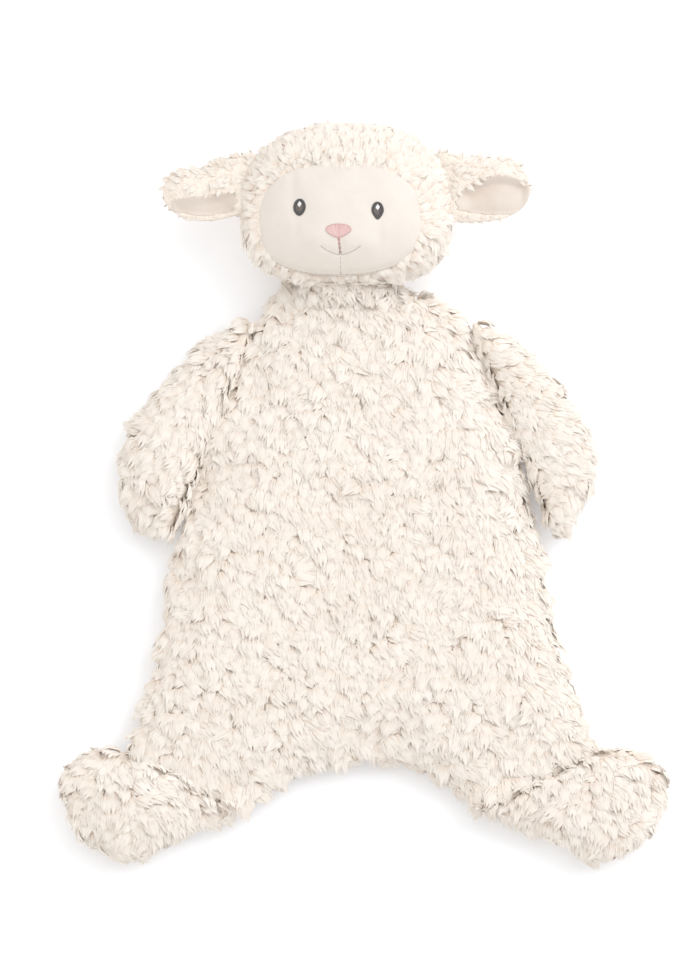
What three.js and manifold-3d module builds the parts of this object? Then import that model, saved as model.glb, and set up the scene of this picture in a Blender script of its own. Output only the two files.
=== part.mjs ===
// A lamb comfort blanket: a flat plush body that carries a stuffed head, two ears, two arms and two feet.
// It lies on its back, with +Z up and +Y towards the head. The origin is on the floor, under the middle of its outline.
// Sizes are in millimetres. A share is a part of the size that its comment names.
import * as THREE from "three";
import { mergeVertices } from "three/addons/utils/BufferGeometryUtils.js";
import Module from "manifold-3d";

const wasm = await Module();
wasm.setup();

// Fits
const CLEARANCE = 0.3; // between pieces that lie against each other
const FLOOR_CUT = 0.5; // how deep the resting side of each soft piece is pressed flat
const CUT_OVERRUN = 5; // how far a cutting tool runs past what it cuts
const SEAM_RADIUS = 0.5; // the stitched cord of a shoulder or ankle seam

// Torso
const TORSO_LENGTH = 246; // neck edge to the inner ends of the ankle seams
const TORSO_HALF_WIDTH = 109; // middle line to the outer end of an ankle seam
const TORSO_RISE = 11.5; // seam to the top of the pile
const TORSO_DROP = 11.5; // seam to the underside, before it is pressed flat
const TORSO_WALL = 8; // backing cloth with its dense pile
const TORSO_WADDING_INSET = 11; // seam line to the edge of the wadding
const NECK_LIFT = 5; // how far the neck end of the torso is drawn up
const NECK_LIFT_HALF_WIDTH = 36;
const NECK_LIFT_LENGTH = 32;

// Neck
const NECK_RADIUS = 9;
const NECK_REACH = 22; // neck hinge to the top of the plug inside the head
const NECK_ROLL_RADIUS = 5; // the rolled seam that the head nods on
const NECK_SIDES = 20;
const NOD_BACK = 45; // degrees
const NOD_FORWARD = 50; // degrees
const NOD_STEP = 5; // degrees between the places where the torso is cleared for the neck
const HEAD_TURN = 30; // degrees each way

// Head
const HEAD_HALF_WIDTH = 52;
const HEAD_HALF_HEIGHT = 40.5;
const HEAD_HALF_DEPTH = 31;
const HEAD_SIDE_SHIFT = -8; // the head lies to one side of the torso's middle line
const CHIN_OVERHANG = 2; // how far the chin lies over the torso's neck edge
const HEAD_WALL = 8;
const HEAD_PILE = 5; // how far the hood's pile stands above the smooth face
const CHIN_PILE = 2; // the same at the chin
const CROWN_ROUNDNESS = 2.1; // exponent of the outline above the ears' line, where 2 is an ellipse
const JOWL_ROUNDNESS = 3; // the same below it
const BALL_ROUNDNESS = 2.2; // exponent of the head's swell

// Face
const FACE_HALF_WIDTH = 40.5;
const FACE_HALF_HEIGHT = 26;
const FACE_SIDE_SHIFT = -1.4; // from the head's middle
const FACE_DROP = 9.5; // how far the face's middle lies below the head's
const FACE_ROUNDNESS = 2.5;
const MUZZLE_RISE = 2.5;
const MUZZLE_HALF_WIDTH = 20;
const MUZZLE_HALF_HEIGHT = 13;
const FEATURE_SIDE_SHIFT = -3.8; // nose line, from the head's middle
const THREAD_HEIGHT = 0.8; // how thick the satin stitches lie on the face
const EYE_HALF_WIDTH = 3;
const EYE_HALF_HEIGHT = 4.1;
const EYE_SPACING = 37;
const EYE_DROP = 5.6; // below the head's middle
const EYE_TILT = 0.6; // how much higher the left eye lies than their middle
const GLINT_HALF_WIDTH = 0.9;
const GLINT_HALF_HEIGHT = 1.3;
const GLINT_HEIGHT = 0.3;
const NOSE_HALF_WIDTH = 6;
const NOSE_HEIGHT = 6.6;
const NOSE_DROP = 12.8; // its upper edge, below the head's middle
const MOUTH_DROP = 26.2;
const MOUTH_SIDE_SHIFT = 1; // from the nose line
const MOUTH_HALF_WIDTH = 9.5;
const MOUTH_CURL = 3.6; // how far the ends of the smile turn up
const MOUTH_THREAD = 0.6; // width of the stitched lines
const LIP_LINE_THREAD = 1;
const FACE_SEAM_THREAD = 0.9;

// Ears, lengthwise from the head's side
const EAR_LENGTH = 37;
const EAR_HALF_HEIGHT = 14.5;
const EAR_RISE = 6.5;
const EAR_DROP = 6.5;
const EAR_HINGE_RISE = 8; // above the head's middle, towards the crown
const EAR_FRONT_SHIFT = 4; // in front of the head's widest line
const EAR_ROOT_DEPTH = 9; // how much longer the leaf is before the head's side trims its root
const EAR_FLAP = 40; // degrees each way
const EAR_FLAP_SHARES = [-1, -0.5, 0, 0.5, 1]; // of the flap, where the root is cleared for the head
const EAR_LINING_WALL = 2;
const EAR_POCKET_DEPTH = 3.5; // ear's crown to the top of its lining

// Arms, lengthwise along the shoulder seam
const ARM_LENGTH = 117;
const ARM_WIDTH = 36;
const ARM_RISE = 12.5;
const ARM_WALL = 7;
const ARM_SEAM_LENGTH = 68;
const ARM_STUFFING_INSET = 8.5;

// Feet, widthwise along the ankle seam
const FOOT_WIDTH = 57;
const FOOT_LENGTH = 48;
const FOOT_RISE = 15;
const FOOT_WALL = 7;
const FOOT_STUFFING_INSET = 8.5;

// Outlines. The torso's: x as a share of TORSO_HALF_WIDTH, y as a share of TORSO_LENGTH down from the neck edge.
const NECK_CORNER_SHARES = [
  [0.3, 0],
  [0.39, 0.015],
  [0.433, 0.045],
];
const FLANK_SHARES = [
  [0.68, 0.311],
  [0.775, 0.447],
  [0.826, 0.536],
  [0.87, 0.672],
  [0.938, 0.79],
  [1, 0.888],
];
const HEM_SHARES = [
  [0.528, 1],
  [0.35, 0.951],
  [0.17, 0.918],
  [0, 0.91],
];
// Arm: shares of ARM_LENGTH along the seam and of ARM_WIDTH out from it, from the shoulder round to the armpit.
const ARM_SHARES = [
  [0, 0],
  [0.04, 0.2],
  [0.15, 0.47],
  [0.33, 0.72],
  [0.49, 0.91],
  [0.63, 1],
  [0.79, 0.93],
  [0.91, 0.74],
  [0.98, 0.5],
  [1, 0.24],
  [0.98, 0.03],
  [0.88, -0.02],
];
// Foot: shares of FOOT_WIDTH along the ankle seam and of FOOT_LENGTH out from it, from its outer end.
const FOOT_SHARES = [
  [0, 0],
  [-0.19, 0.15],
  [-0.31, 0.36],
  [-0.33, 0.62],
  [-0.27, 0.82],
  [-0.1, 0.97],
  [0.18, 1],
  [0.43, 0.94],
  [0.58, 0.74],
  [0.71, 0.48],
  [0.86, 0.25],
];
// Ear: shares of EAR_LENGTH out from the head and of EAR_HALF_HEIGHT.
const EAR_SHARES = [
  [-0.18, 0.95],
  [0.05, 1.1],
  [0.35, 1.06],
  [0.68, 0.93],
  [0.92, 0.6],
  [1, 0.1],
  [0.96, -0.42],
  [0.82, -0.82],
  [0.58, -1],
  [0.3, -0.98],
  [0.05, -0.85],
  [-0.18, -0.7],
];
const EAR_LINING_SHARES = [
  [0.12, -0.25],
  [0.35, 0.02],
  [0.6, 0.16],
  [0.8, 0.02],
  [0.87, -0.35],
  [0.74, -0.68],
  [0.52, -0.82],
  [0.26, -0.72],
];
const NOSE_SHARES = [
  [-1, 0.32],
  [-0.62, 0.06],
  [0, 0],
  [0.62, 0.06],
  [1, 0.32],
  [0.78, 0.62],
  [0.3, 0.86],
  [0, 1],
  [-0.3, 0.86],
  [-0.78, 0.62],
];

// Where the rings of a swelled surface lie, as shares of the way from its middle to its outline.
const FLAT_RING_SHARES = [1, 0.95, 0.84, 0.62, 0];
const LIMB_RING_SHARES = [1, 0.9, 0.72, 0.42, 0];
const BALL_RING_SHARES = [1, 0.975, 0.9, 0.76, 0.55, 0.28, 0];
const PATCH_RING_SHARES = [1, 0.72, 0.4, 0];
const STITCH_RING_SHARES = [1, 0];
const STUFFING_RING_SHARES = [1, 0.75, 0.4, 0];
const HEAD_STUFFING_RING_SHARES = [1, 0.96, 0.8, 0.5, 0];

// Where the shoulders are cleared for the turned head, as shares of the nod back and of the turn.
const CLEARED_NOD_SHARES = [0, 0.5, 1];
const CLEARED_TURN_SHARES = [-1, -0.6, 0.6, 1];

// How sharply each swell falls to its seam, and how many points its outline has.
const TORSO_SWELL = 5;
const LIMB_SWELL = 2.4;
const HALF_NECK_STEPS = 3;
const FLANK_STEPS = 9;
const SEAM_STEPS = 3;
const HEM_STEPS = 5;
const HEAD_STEPS = 32;
const FACE_STEPS = 32;
const LIMB_STEPS = 22;
const STUFFING_STEPS = 14;
const HEAD_STUFFING_STEPS = 20;
const EAR_STEPS = 18;
const EYE_STEPS = 14;
const GLINT_STEPS = 6;
const STITCH_STEPS = 10;
const FACE_SEAM_STEPS = 44;
const CORD_SIDES = 6;

// Places that follow from the sizes
const SEAM_Z = TORSO_DROP - FLOOR_CUT;
const NECK_Z = SEAM_Z + NECK_LIFT;
const HEAD_Y = HEAD_HALF_HEIGHT - CHIN_OVERHANG;
const HEAD_Z = HEAD_HALF_DEPTH - FLOOR_CUT;
const HINGE_OFFSET = SEAM_RADIUS + CLEARANCE; // a panel's edge to the middle of its seam
const HALF_CLEARANCE = CLEARANCE / 2;
const TORSO_MIDDLE = new THREE.Vector2(0, -0.55 * TORSO_LENGTH);
const LIMB_FLOOR = -SEAM_Z; // the floor, in a limb's own frame

const COLOURS = {
  plush: { color: 0xf1e9df, roughness: 0.95 },
  velour: { color: 0xf3e9dc, roughness: 0.85 },
  filling: { color: 0xfaf9f6, roughness: 1 },
  darkThread: { color: 0x3b3532, roughness: 0.45 },
  whiteThread: { color: 0xfdfcfa, roughness: 0.45 },
  pinkThread: { color: 0xe6a9a6, roughness: 0.5 },
  greyThread: { color: 0xb9aaa0, roughness: 0.6 },
  seamThread: { color: 0xd8c9b8, roughness: 0.7 },
};

// Solids

// A closed geometry as a solid that can be joined and cut.
function solid(geometry) {
  const bare = geometry.clone();
  bare.deleteAttribute("normal");
  bare.deleteAttribute("uv");
  const merged = mergeVertices(bare);
  const faces = [];
  for (let i = 0; i < merged.index.count; i += 3) {
    const [a, b, c] = [0, 1, 2].map((corner) => merged.index.getX(i + corner));
    if (a !== b && b !== c && c !== a) faces.push(a, b, c);
  }
  return new wasm.Manifold(
    new wasm.Mesh({
      numProp: 3,
      vertProperties: merged.attributes.position.array,
      triVerts: new Uint32Array(faces),
    }),
  );
}

// The solid as a geometry again.
function geometryOf(shape) {
  const mesh = shape.getMesh();
  const geometry = new THREE.BufferGeometry();
  geometry.setAttribute("position", new THREE.BufferAttribute(mesh.vertProperties, mesh.numProp));
  geometry.setIndex(new THREE.BufferAttribute(mesh.triVerts, 1));
  geometry.computeVertexNormals();
  return geometry;
}

function piece(name, shape, look) {
  const mesh = new THREE.Mesh(geometryOf(shape), new THREE.MeshStandardMaterial(COLOURS[look]));
  mesh.name = name;
  return mesh;
}

// A swelled solid over a closed outline: rings shrink from the outline to its middle, and topAt and bottomAt give
// the heights at a point and at its share of the way out. Where the two differ at the outline, a wall joins them.
function quilt(outline, middle, ringShares, topAt, bottomAt) {
  const ring = THREE.ShapeUtils.isClockWise(outline) ? [...outline].reverse() : outline;
  const count = ring.length;
  const positions = [];
  const faces = [];
  const vertex = (place, height) => positions.push(place.x, place.y, height) / 3 - 1;
  const surface = (heightAt) =>
    ringShares.map((share) => {
      const places = share > 0 ? ring.map((point) => middle.clone().lerp(point, share)) : [middle];
      return places.map((place) => vertex(place, heightAt(place.x, place.y, share)));
    });
  const top = surface(topAt);
  const bottom = surface(bottomAt);
  const face = (corners, upwards) => faces.push(...(upwards ? corners : corners.reverse()));
  const strip = (outer, inner, upwards) => {
    for (let i = 0; i < count; i++) {
      const next = (i + 1) % count;
      if (inner.length === 1) {
        face([outer[i], outer[next], inner[0]], upwards);
      } else {
        face([outer[i], outer[next], inner[next]], upwards);
        face([outer[i], inner[next], inner[i]], upwards);
      }
    }
  };
  for (let k = 0; k + 1 < ringShares.length; k++) {
    strip(top[k], top[k + 1], true);
    strip(bottom[k], bottom[k + 1], false);
  }
  const walled = ring.some((point) => topAt(point.x, point.y, 1) - bottomAt(point.x, point.y, 1) > 1e-6);
  if (walled) strip(bottom[0], top[0], true);
  const geometry = new THREE.BufferGeometry();
  geometry.setAttribute("position", new THREE.Float32BufferAttribute(positions, 3));
  geometry.setIndex(faces);
  return solid(geometry);
}

// A cord of a given width along points in space, closed at both ends.
function cord(points, width, steps) {
  const section = new THREE.Shape();
  section.absarc(0, 0, width / 2, 0, 2 * Math.PI);
  const path = new THREE.CatmullRomCurve3(points);
  const options = { steps, bevelEnabled: false, curveSegments: CORD_SIDES / 2, extrudePath: path };
  return solid(new THREE.ExtrudeGeometry(section, options));
}

// A cylinder from one point to another.
function rod(start, end, radius, sides) {
  const along = end.clone().sub(start);
  const geometry = new THREE.CylinderGeometry(radius, radius, along.length(), sides);
  const turn = new THREE.Quaternion().setFromUnitVectors(
    new THREE.Vector3(0, 1, 0),
    along.clone().normalize(),
  );
  geometry.applyQuaternion(turn);
  const middle = start.clone().lerp(end, 0.5);
  geometry.translate(middle.x, middle.y, middle.z);
  return solid(geometry);
}

// A solid turned about a line through a point.
function turned(shape, point, axis, degrees) {
  const place = new THREE.Matrix4().makeTranslation(point);
  const turn = new THREE.Matrix4().makeRotationAxis(axis, THREE.MathUtils.degToRad(degrees));
  const matrix = place.clone().multiply(turn).multiply(place.clone().invert());
  return shape.transform(matrix.elements);
}

// What is left of a solid above the floor.
const pressedFlat = (shape, floor) => shape.trimByPlane([0, 0, 1], floor);

// Outlines

const lerpShares = (rows, width, length) =>
  rows.map(([across, down]) => new THREE.Vector2(across * width, down * length));

// Evenly spaced points on a smooth line through the given ones.
function smoothLine(points, steps) {
  const path = new THREE.CatmullRomCurve3(points.map((point) => new THREE.Vector3(point.x, point.y, 0)));
  return path.getSpacedPoints(steps).map((point) => new THREE.Vector2(point.x, point.y));
}

const straightLine = (start, end, steps) =>
  Array.from({ length: steps + 1 }, (unused, i) => start.clone().lerp(end, i / steps));

// Joins lines that start where the last one ended.
const joined = (...lines) => lines.flatMap((line, i) => (i ? line.slice(1) : line));

// A closed outline pulled in by a distance towards its middle.
function inset(outline, middle, distance) {
  return outline.map((point) => {
    const reach = point.distanceTo(middle);
    return middle.clone().lerp(point, Math.max(reach - distance, 0) / reach);
  });
}

function torsoOutline() {
  const neckCorner = lerpShares(NECK_CORNER_SHARES, TORSO_HALF_WIDTH, -TORSO_LENGTH);
  const flank = lerpShares(FLANK_SHARES, TORSO_HALF_WIDTH, -TORSO_LENGTH);
  const hem = lerpShares(HEM_SHARES, TORSO_HALF_WIDTH, -TORSO_LENGTH);
  const half = joined(
    straightLine(new THREE.Vector2(0, 0), neckCorner[0], HALF_NECK_STEPS),
    neckCorner,
    straightLine(neckCorner.at(-1), flank[0], SEAM_STEPS),
    smoothLine(flank, FLANK_STEPS),
    straightLine(flank.at(-1), hem[0], SEAM_STEPS),
    smoothLine(hem, HEM_STEPS),
  );
  const otherHalf = half.slice(1, -1).map((point) => new THREE.Vector2(-point.x, point.y));
  return [...half, ...otherHalf.reverse()];
}

// A rounded oval, from its lowest point round, whose exponent can differ above and below its middle.
function oval(middle, halfWidth, halfHeight, upperRoundness, lowerRoundness, steps) {
  return Array.from({ length: steps }, (unused, i) => {
    const angle = (2 * Math.PI * i) / steps;
    const [across, up] = [Math.sin(angle), -Math.cos(angle)];
    const power = 2 / (up >= 0 ? upperRoundness : lowerRoundness);
    return new THREE.Vector2(
      middle.x + halfWidth * Math.sign(across) * Math.abs(across) ** power,
      middle.y + halfHeight * Math.sign(up) * Math.abs(up) ** power,
    );
  });
}

// Torso

const swell = (power) => (share) => 1 - share ** power;
const torsoSwell = swell(TORSO_SWELL);
const limbSwell = swell(LIMB_SWELL);

// Height of the torso's side seam, which is drawn up in the middle of the neck.
function torsoSeamZ(x, y) {
  const across = Math.min(Math.abs(x - HEAD_SIDE_SHIFT) / NECK_LIFT_HALF_WIDTH, 1);
  const along = THREE.MathUtils.smoothstep(y, -NECK_LIFT_LENGTH, 0);
  return SEAM_Z + NECK_LIFT * (1 - across ** 2) ** 2 * along;
}

// The rolled neck seam and the plug of filling that stands on it, in the torso's frame, with a clearance to add.
function neckParts(clearance) {
  const hinge = new THREE.Vector3(HEAD_SIDE_SHIFT, 0, NECK_Z);
  const base = new THREE.Vector3(HEAD_SIDE_SHIFT, NECK_ROLL_RADIUS / 2, NECK_Z);
  const top = new THREE.Vector3(HEAD_SIDE_SHIFT, NECK_REACH, NECK_Z);
  const side = new THREE.Vector3(NECK_RADIUS + clearance, 0, 0);
  const rollEnds = [hinge.clone().sub(side), hinge.clone().add(side)];
  const roll = rod(...rollEnds, NECK_ROLL_RADIUS + clearance, NECK_SIDES);
  const plug = rod(base, top, NECK_RADIUS + clearance, NECK_SIDES);
  return { hinge, roll, plug };
}

function neckShape() {
  const { roll, plug } = neckParts(0);
  return plug.add(roll);
}

// Everywhere that the neck reaches as the head nods.
function neckSweep() {
  const { hinge, roll, plug } = neckParts(CLEARANCE);
  const across = new THREE.Vector3(1, 0, 0);
  let sweep = roll;
  for (let angle = -NOD_BACK; angle <= NOD_FORWARD; angle += NOD_STEP) {
    sweep = sweep.add(turned(plug, hinge, across, angle));
  }
  return sweep;
}

// Everywhere that the head reaches over the shoulders as it turns and nods back.
function headSweep() {
  const place = new THREE.Vector3(HEAD_SIDE_SHIFT, HEAD_Y, HEAD_Z);
  const ball = headBall(-CLEARANCE, HEAD_STEPS, BALL_RING_SHARES, 1, 1).translate(place.toArray());
  const hinge = new THREE.Vector3(HEAD_SIDE_SHIFT, 0, NECK_Z);
  const [across, along] = [new THREE.Vector3(1, 0, 0), new THREE.Vector3(0, 1, 0)];
  const places = CLEARED_NOD_SHARES.flatMap((nod) =>
    CLEARED_TURN_SHARES.map((turn) => {
      const sideways = turned(ball, hinge, along, turn * HEAD_TURN);
      return turned(sideways, hinge, across, -nod * NOD_BACK);
    }),
  );
  return wasm.Manifold.union(places);
}

function torso() {
  const outline = torsoOutline();
  const topAt = (x, y, share) => torsoSeamZ(x, y) + HALF_CLEARANCE + TORSO_RISE * torsoSwell(share);
  const bottomAt = (x, y, share) => torsoSeamZ(x, y) - HALF_CLEARANCE - TORSO_DROP * torsoSwell(share);
  const above = (x, y) => torsoSeamZ(x, y) + HALF_CLEARANCE;
  const below = (x, y) => torsoSeamZ(x, y) - HALF_CLEARANCE;
  const wadding = (grow) =>
    quilt(
      inset(outline, TORSO_MIDDLE, TORSO_WADDING_INSET - grow),
      TORSO_MIDDLE,
      FLAT_RING_SHARES,
      (x, y, share) => torsoSeamZ(x, y) + (TORSO_RISE - TORSO_WALL + grow) * torsoSwell(share),
      (x, y, share) => torsoSeamZ(x, y) - (TORSO_DROP - TORSO_WALL - FLOOR_CUT + grow) * torsoSwell(share),
    );
  const sweep = neckSweep().add(headSweep());
  const hollow = wadding(CLEARANCE);
  const front = quilt(outline, TORSO_MIDDLE, FLAT_RING_SHARES, topAt, above);
  const back = quilt(outline, TORSO_MIDDLE, FLAT_RING_SHARES, below, bottomAt);
  return [
    piece("torso_front_plush", front.subtract(hollow).subtract(sweep), "plush"),
    piece("torso_back_plush", pressedFlat(back, 0).subtract(hollow).subtract(sweep), "plush"),
    piece("torso_wadding", wadding(0).subtract(sweep), "filling"),
  ];
}

// Head, in a frame at the middle of the ball

// How far out a point lies on a head of the given size: 0 in the middle and 1 on its outline.
function headShare(x, y, halfWidth, halfHeight) {
  const roundness = y >= 0 ? CROWN_ROUNDNESS : JOWL_ROUNDNESS;
  const power = Math.abs(x / halfWidth) ** roundness + Math.abs(y / halfHeight) ** roundness;
  return power ** (1 / roundness);
}

const ballSwell = (share) => Math.sqrt(Math.max(0, 1 - share ** BALL_ROUNDNESS));

// A ball of the head's form, smaller by a depth on every side, with the heights of its two halves given as shares.
function headBall(depth, steps, ringShares, topShare, bottomShare, lift = 0) {
  const rise = HEAD_HALF_DEPTH - depth;
  const middle = new THREE.Vector2(0, 0);
  const [halfWidth, halfHeight] = [HEAD_HALF_WIDTH - depth, HEAD_HALF_HEIGHT - depth];
  return quilt(
    oval(middle, halfWidth, halfHeight, CROWN_ROUNDNESS, JOWL_ROUNDNESS, steps),
    middle,
    ringShares,
    (x, y, share) => lift + topShare * rise * ballSwell(share),
    (x, y, share) => lift - bottomShare * rise * ballSwell(share),
  );
}

// The whole form with fewer faces, for what fills or clears the head.
const plainBall = (depth) => headBall(depth, HEAD_STUFFING_STEPS, HEAD_STUFFING_RING_SHARES, 1, 1);

// Height of the smooth face, with its muzzle.
function faceHeight(x, y) {
  const [halfWidth, halfHeight] = [HEAD_HALF_WIDTH - HEAD_PILE, HEAD_HALF_HEIGHT - CHIN_PILE];
  const ball = (HEAD_HALF_DEPTH - HEAD_PILE) * ballSwell(headShare(x, y, halfWidth, halfHeight));
  const across = (x - FEATURE_SIDE_SHIFT) / MUZZLE_HALF_WIDTH;
  const up = (y + NOSE_DROP + NOSE_HEIGHT) / MUZZLE_HALF_HEIGHT;
  return ball + MUZZLE_RISE * Math.exp(-(across ** 2) - up ** 2);
}

const FACE_MIDDLE = new THREE.Vector2(FACE_SIDE_SHIFT, -FACE_DROP);

const faceOutline = (grow, steps) =>
  oval(
    FACE_MIDDLE,
    FACE_HALF_WIDTH + grow,
    FACE_HALF_HEIGHT + grow,
    FACE_ROUNDNESS,
    FACE_ROUNDNESS,
    steps,
  );

// The hole in the hood, straight through along Z.
function faceOpening() {
  const outline = faceOutline(CLEARANCE, FACE_STEPS);
  const reach = HEAD_HALF_DEPTH + CUT_OVERRUN;
  return quilt(outline, FACE_MIDDLE, STITCH_RING_SHARES, () => reach, () => 0);
}

// The socket that the neck plug turns in, with room for the rolled seam below it.
function neckSocket() {
  const height = NECK_Z - HEAD_Z;
  const at = (y) => new THREE.Vector3(0, y - HEAD_Y, height);
  const rollReach = Math.hypot(NECK_RADIUS, NECK_ROLL_RADIUS);
  const plug = rod(at(-CUT_OVERRUN), at(NECK_REACH + CLEARANCE), NECK_RADIUS + CLEARANCE, NECK_SIDES);
  const roll = rod(at(-CUT_OVERRUN), at(NECK_ROLL_RADIUS + CLEARANCE), rollReach + CLEARANCE, NECK_SIDES);
  return plug.add(roll);
}

// A flat stitched patch that lies on the face.
function stitchedPatch(outline, middle, base, height) {
  return quilt(
    outline,
    middle,
    STITCH_RING_SHARES,
    (x, y) => faceHeight(x, y) + base + height,
    (x, y) => faceHeight(x, y) + base,
  );
}

// A stitched line that lies on the face.
function stitchedLine(points, width, steps) {
  const lift = CLEARANCE + width / 2;
  const raised = smoothLine(points, steps).map(
    (point) => new THREE.Vector3(point.x, point.y, faceHeight(point.x, point.y) + lift),
  );
  return cord(raised, width, steps);
}

function eye(name, side) {
  const middle = new THREE.Vector2(FEATURE_SIDE_SHIFT + (side * EYE_SPACING) / 2, -EYE_DROP - side * EYE_TILT);
  const iris = oval(middle, EYE_HALF_WIDTH, EYE_HALF_HEIGHT, 2, 2, EYE_STEPS);
  const glintMiddle = new THREE.Vector2(middle.x, middle.y + GLINT_HALF_HEIGHT);
  const glint = oval(glintMiddle, GLINT_HALF_WIDTH, GLINT_HALF_HEIGHT, 2, 2, GLINT_STEPS);
  const glintBase = CLEARANCE + THREAD_HEIGHT + CLEARANCE;
  return [
    piece(`${name}_eye_stitching`, stitchedPatch(iris, middle, CLEARANCE, THREAD_HEIGHT), "darkThread"),
    piece(`${name}_eye_glint`, stitchedPatch(glint, glintMiddle, glintBase, GLINT_HEIGHT), "whiteThread"),
  ];
}

function noseAndMouth() {
  const x = FEATURE_SIDE_SHIFT;
  const noseMiddle = new THREE.Vector2(x, -NOSE_DROP - NOSE_HEIGHT / 2);
  const nose = lerpShares(NOSE_SHARES, NOSE_HALF_WIDTH, -NOSE_HEIGHT).map(
    (point) => new THREE.Vector2(point.x + x, point.y - NOSE_DROP),
  );
  const noseEnd = -NOSE_DROP - NOSE_HEIGHT;
  const mouthX = x + MOUTH_SIDE_SHIFT;
  const lipTop = new THREE.Vector2(x, noseEnd - CLEARANCE);
  const lipEnd = new THREE.Vector2(mouthX, -MOUTH_DROP + CLEARANCE + LIP_LINE_THREAD / 2);
  const onSmile = (share) =>
    new THREE.Vector2(mouthX + share * MOUTH_HALF_WIDTH, -MOUTH_DROP + share ** 2 * MOUTH_CURL);
  const smile = [onSmile(-1), onSmile(-1 / 2), onSmile(0), onSmile(1 / 2), onSmile(1)];
  const chinTop = new THREE.Vector2(mouthX, -MOUTH_DROP - MOUTH_THREAD / 2 - CLEARANCE);
  const chinEnd = new THREE.Vector2(mouthX, -FACE_DROP - FACE_HALF_HEIGHT + CLEARANCE);
  return [
    piece("nose_stitching", stitchedPatch(nose, noseMiddle, CLEARANCE, THREAD_HEIGHT), "pinkThread"),
    piece("lip_line_stitching", stitchedLine([lipTop, lipEnd], LIP_LINE_THREAD, SEAM_STEPS), "pinkThread"),
    piece("smile_stitching", stitchedLine(smile, MOUTH_THREAD, STITCH_STEPS), "greyThread"),
    piece("chin_seam_thread", stitchedLine([chinTop, chinEnd], MOUTH_THREAD, SEAM_STEPS), "seamThread"),
  ];
}

// The thread round the face lies over the join of face and hood, open at the chin.
function faceSeam() {
  const outline = faceOutline(-FACE_SEAM_THREAD, FACE_STEPS);
  const round = smoothLine([...outline, outline[0]], FACE_SEAM_STEPS).slice(1, -1);
  const lift = CLEARANCE + FACE_SEAM_THREAD / 2;
  const points = round.map(
    (point) => new THREE.Vector3(point.x, point.y, faceHeight(point.x, point.y) + lift),
  );
  return piece("face_seam_thread", cord(points, FACE_SEAM_THREAD, FACE_SEAM_STEPS), "seamThread");
}

function ear(name, side) {
  const root = new THREE.Vector2(HEAD_HALF_WIDTH, EAR_HINGE_RISE);
  const edge = headShare(root.x, root.y, HEAD_HALF_WIDTH, HEAD_HALF_HEIGHT);
  const hingeX = root.x / edge;
  const place = (rows) =>
    rows.map(([out, up]) => new THREE.Vector2(side * (hingeX + out * EAR_LENGTH), root.y + up * EAR_HALF_HEIGHT));
  const middle = new THREE.Vector2(side * (hingeX + EAR_LENGTH / 2), root.y);
  const leaf = smoothLine([...place(EAR_SHARES), place(EAR_SHARES)[0]], EAR_STEPS).slice(0, -1);
  const lining = smoothLine([...place(EAR_LINING_SHARES), place(EAR_LINING_SHARES)[0]], STUFFING_STEPS).slice(0, -1);
  const liningMiddle = new THREE.Vector2(middle.x, root.y - EAR_HALF_HEIGHT / 3);
  const height = (share) => EAR_FRONT_SHIFT + EAR_RISE * limbSwell(share);
  const whole = quilt(
    leaf,
    middle,
    LIMB_RING_SHARES,
    (x, y, share) => height(share),
    (x, y, share) => EAR_FRONT_SHIFT - EAR_DROP * limbSwell(share),
  );
  const liningTop = EAR_FRONT_SHIFT + EAR_RISE - EAR_POCKET_DEPTH;
  const pocket = quilt(
    inset(lining, liningMiddle, -CLEARANCE),
    liningMiddle,
    STITCH_RING_SHARES,
    () => liningTop + EAR_RISE + CUT_OVERRUN,
    () => liningTop - EAR_LINING_WALL - CLEARANCE,
  );
  const liningPad = quilt(
    lining,
    liningMiddle,
    PATCH_RING_SHARES,
    () => liningTop,
    () => liningTop - EAR_LINING_WALL,
  );
  const hinge = new THREE.Vector3(side * hingeX, root.y, EAR_FRONT_SHIFT);
  const head = headBall(-CLEARANCE, HEAD_STEPS, BALL_RING_SHARES, 1, 1);
  let plush = whole.subtract(pocket);
  for (const share of EAR_FLAP_SHARES) {
    plush = plush.subtract(turned(head, hinge, new THREE.Vector3(0, 1, 0), share * EAR_FLAP));
  }
  return [piece(`${name}_ear_plush`, plush, "plush"), piece(`${name}_ear_lining`, liningPad, "velour")];
}

function head() {
  const group = new THREE.Group();
  group.position.set(HEAD_SIDE_SHIFT, HEAD_Y, HEAD_Z);
  const socket = neckSocket();
  const hollow = plainBall(HEAD_WALL);
  const upper = headBall(0, HEAD_STEPS, BALL_RING_SHARES, 1, 0, HALF_CLEARANCE);
  const lower = headBall(0, HEAD_STEPS, BALL_RING_SHARES, 0, 1, -HALF_CLEARANCE);
  const hood = upper.subtract(hollow).subtract(faceOpening());
  const back = pressedFlat(lower, -HEAD_Z).subtract(hollow);
  const filling = plainBall(HEAD_WALL + CLEARANCE);
  const face = quilt(
    faceOutline(0, FACE_STEPS),
    FACE_MIDDLE,
    PATCH_RING_SHARES,
    faceHeight,
    (x, y) => faceHeight(x, y) - (HEAD_WALL - HEAD_PILE),
  );
  group.add(
    piece("head_hood_plush", hood.subtract(socket), "plush"),
    piece("head_back_plush", back.subtract(socket), "plush"),
    piece("head_stuffing", filling.subtract(socket), "filling"),
    piece("face_panel", face, "velour"),
    faceSeam(),
    ...eye("left", -1),
    ...eye("right", 1),
    ...noseAndMouth(),
    ...ear("left", -1),
    ...ear("right", 1),
  );
  return group;
}

// Limbs. Each has a frame whose x runs along its seam and whose y points out from it, or in on the left side.

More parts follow.
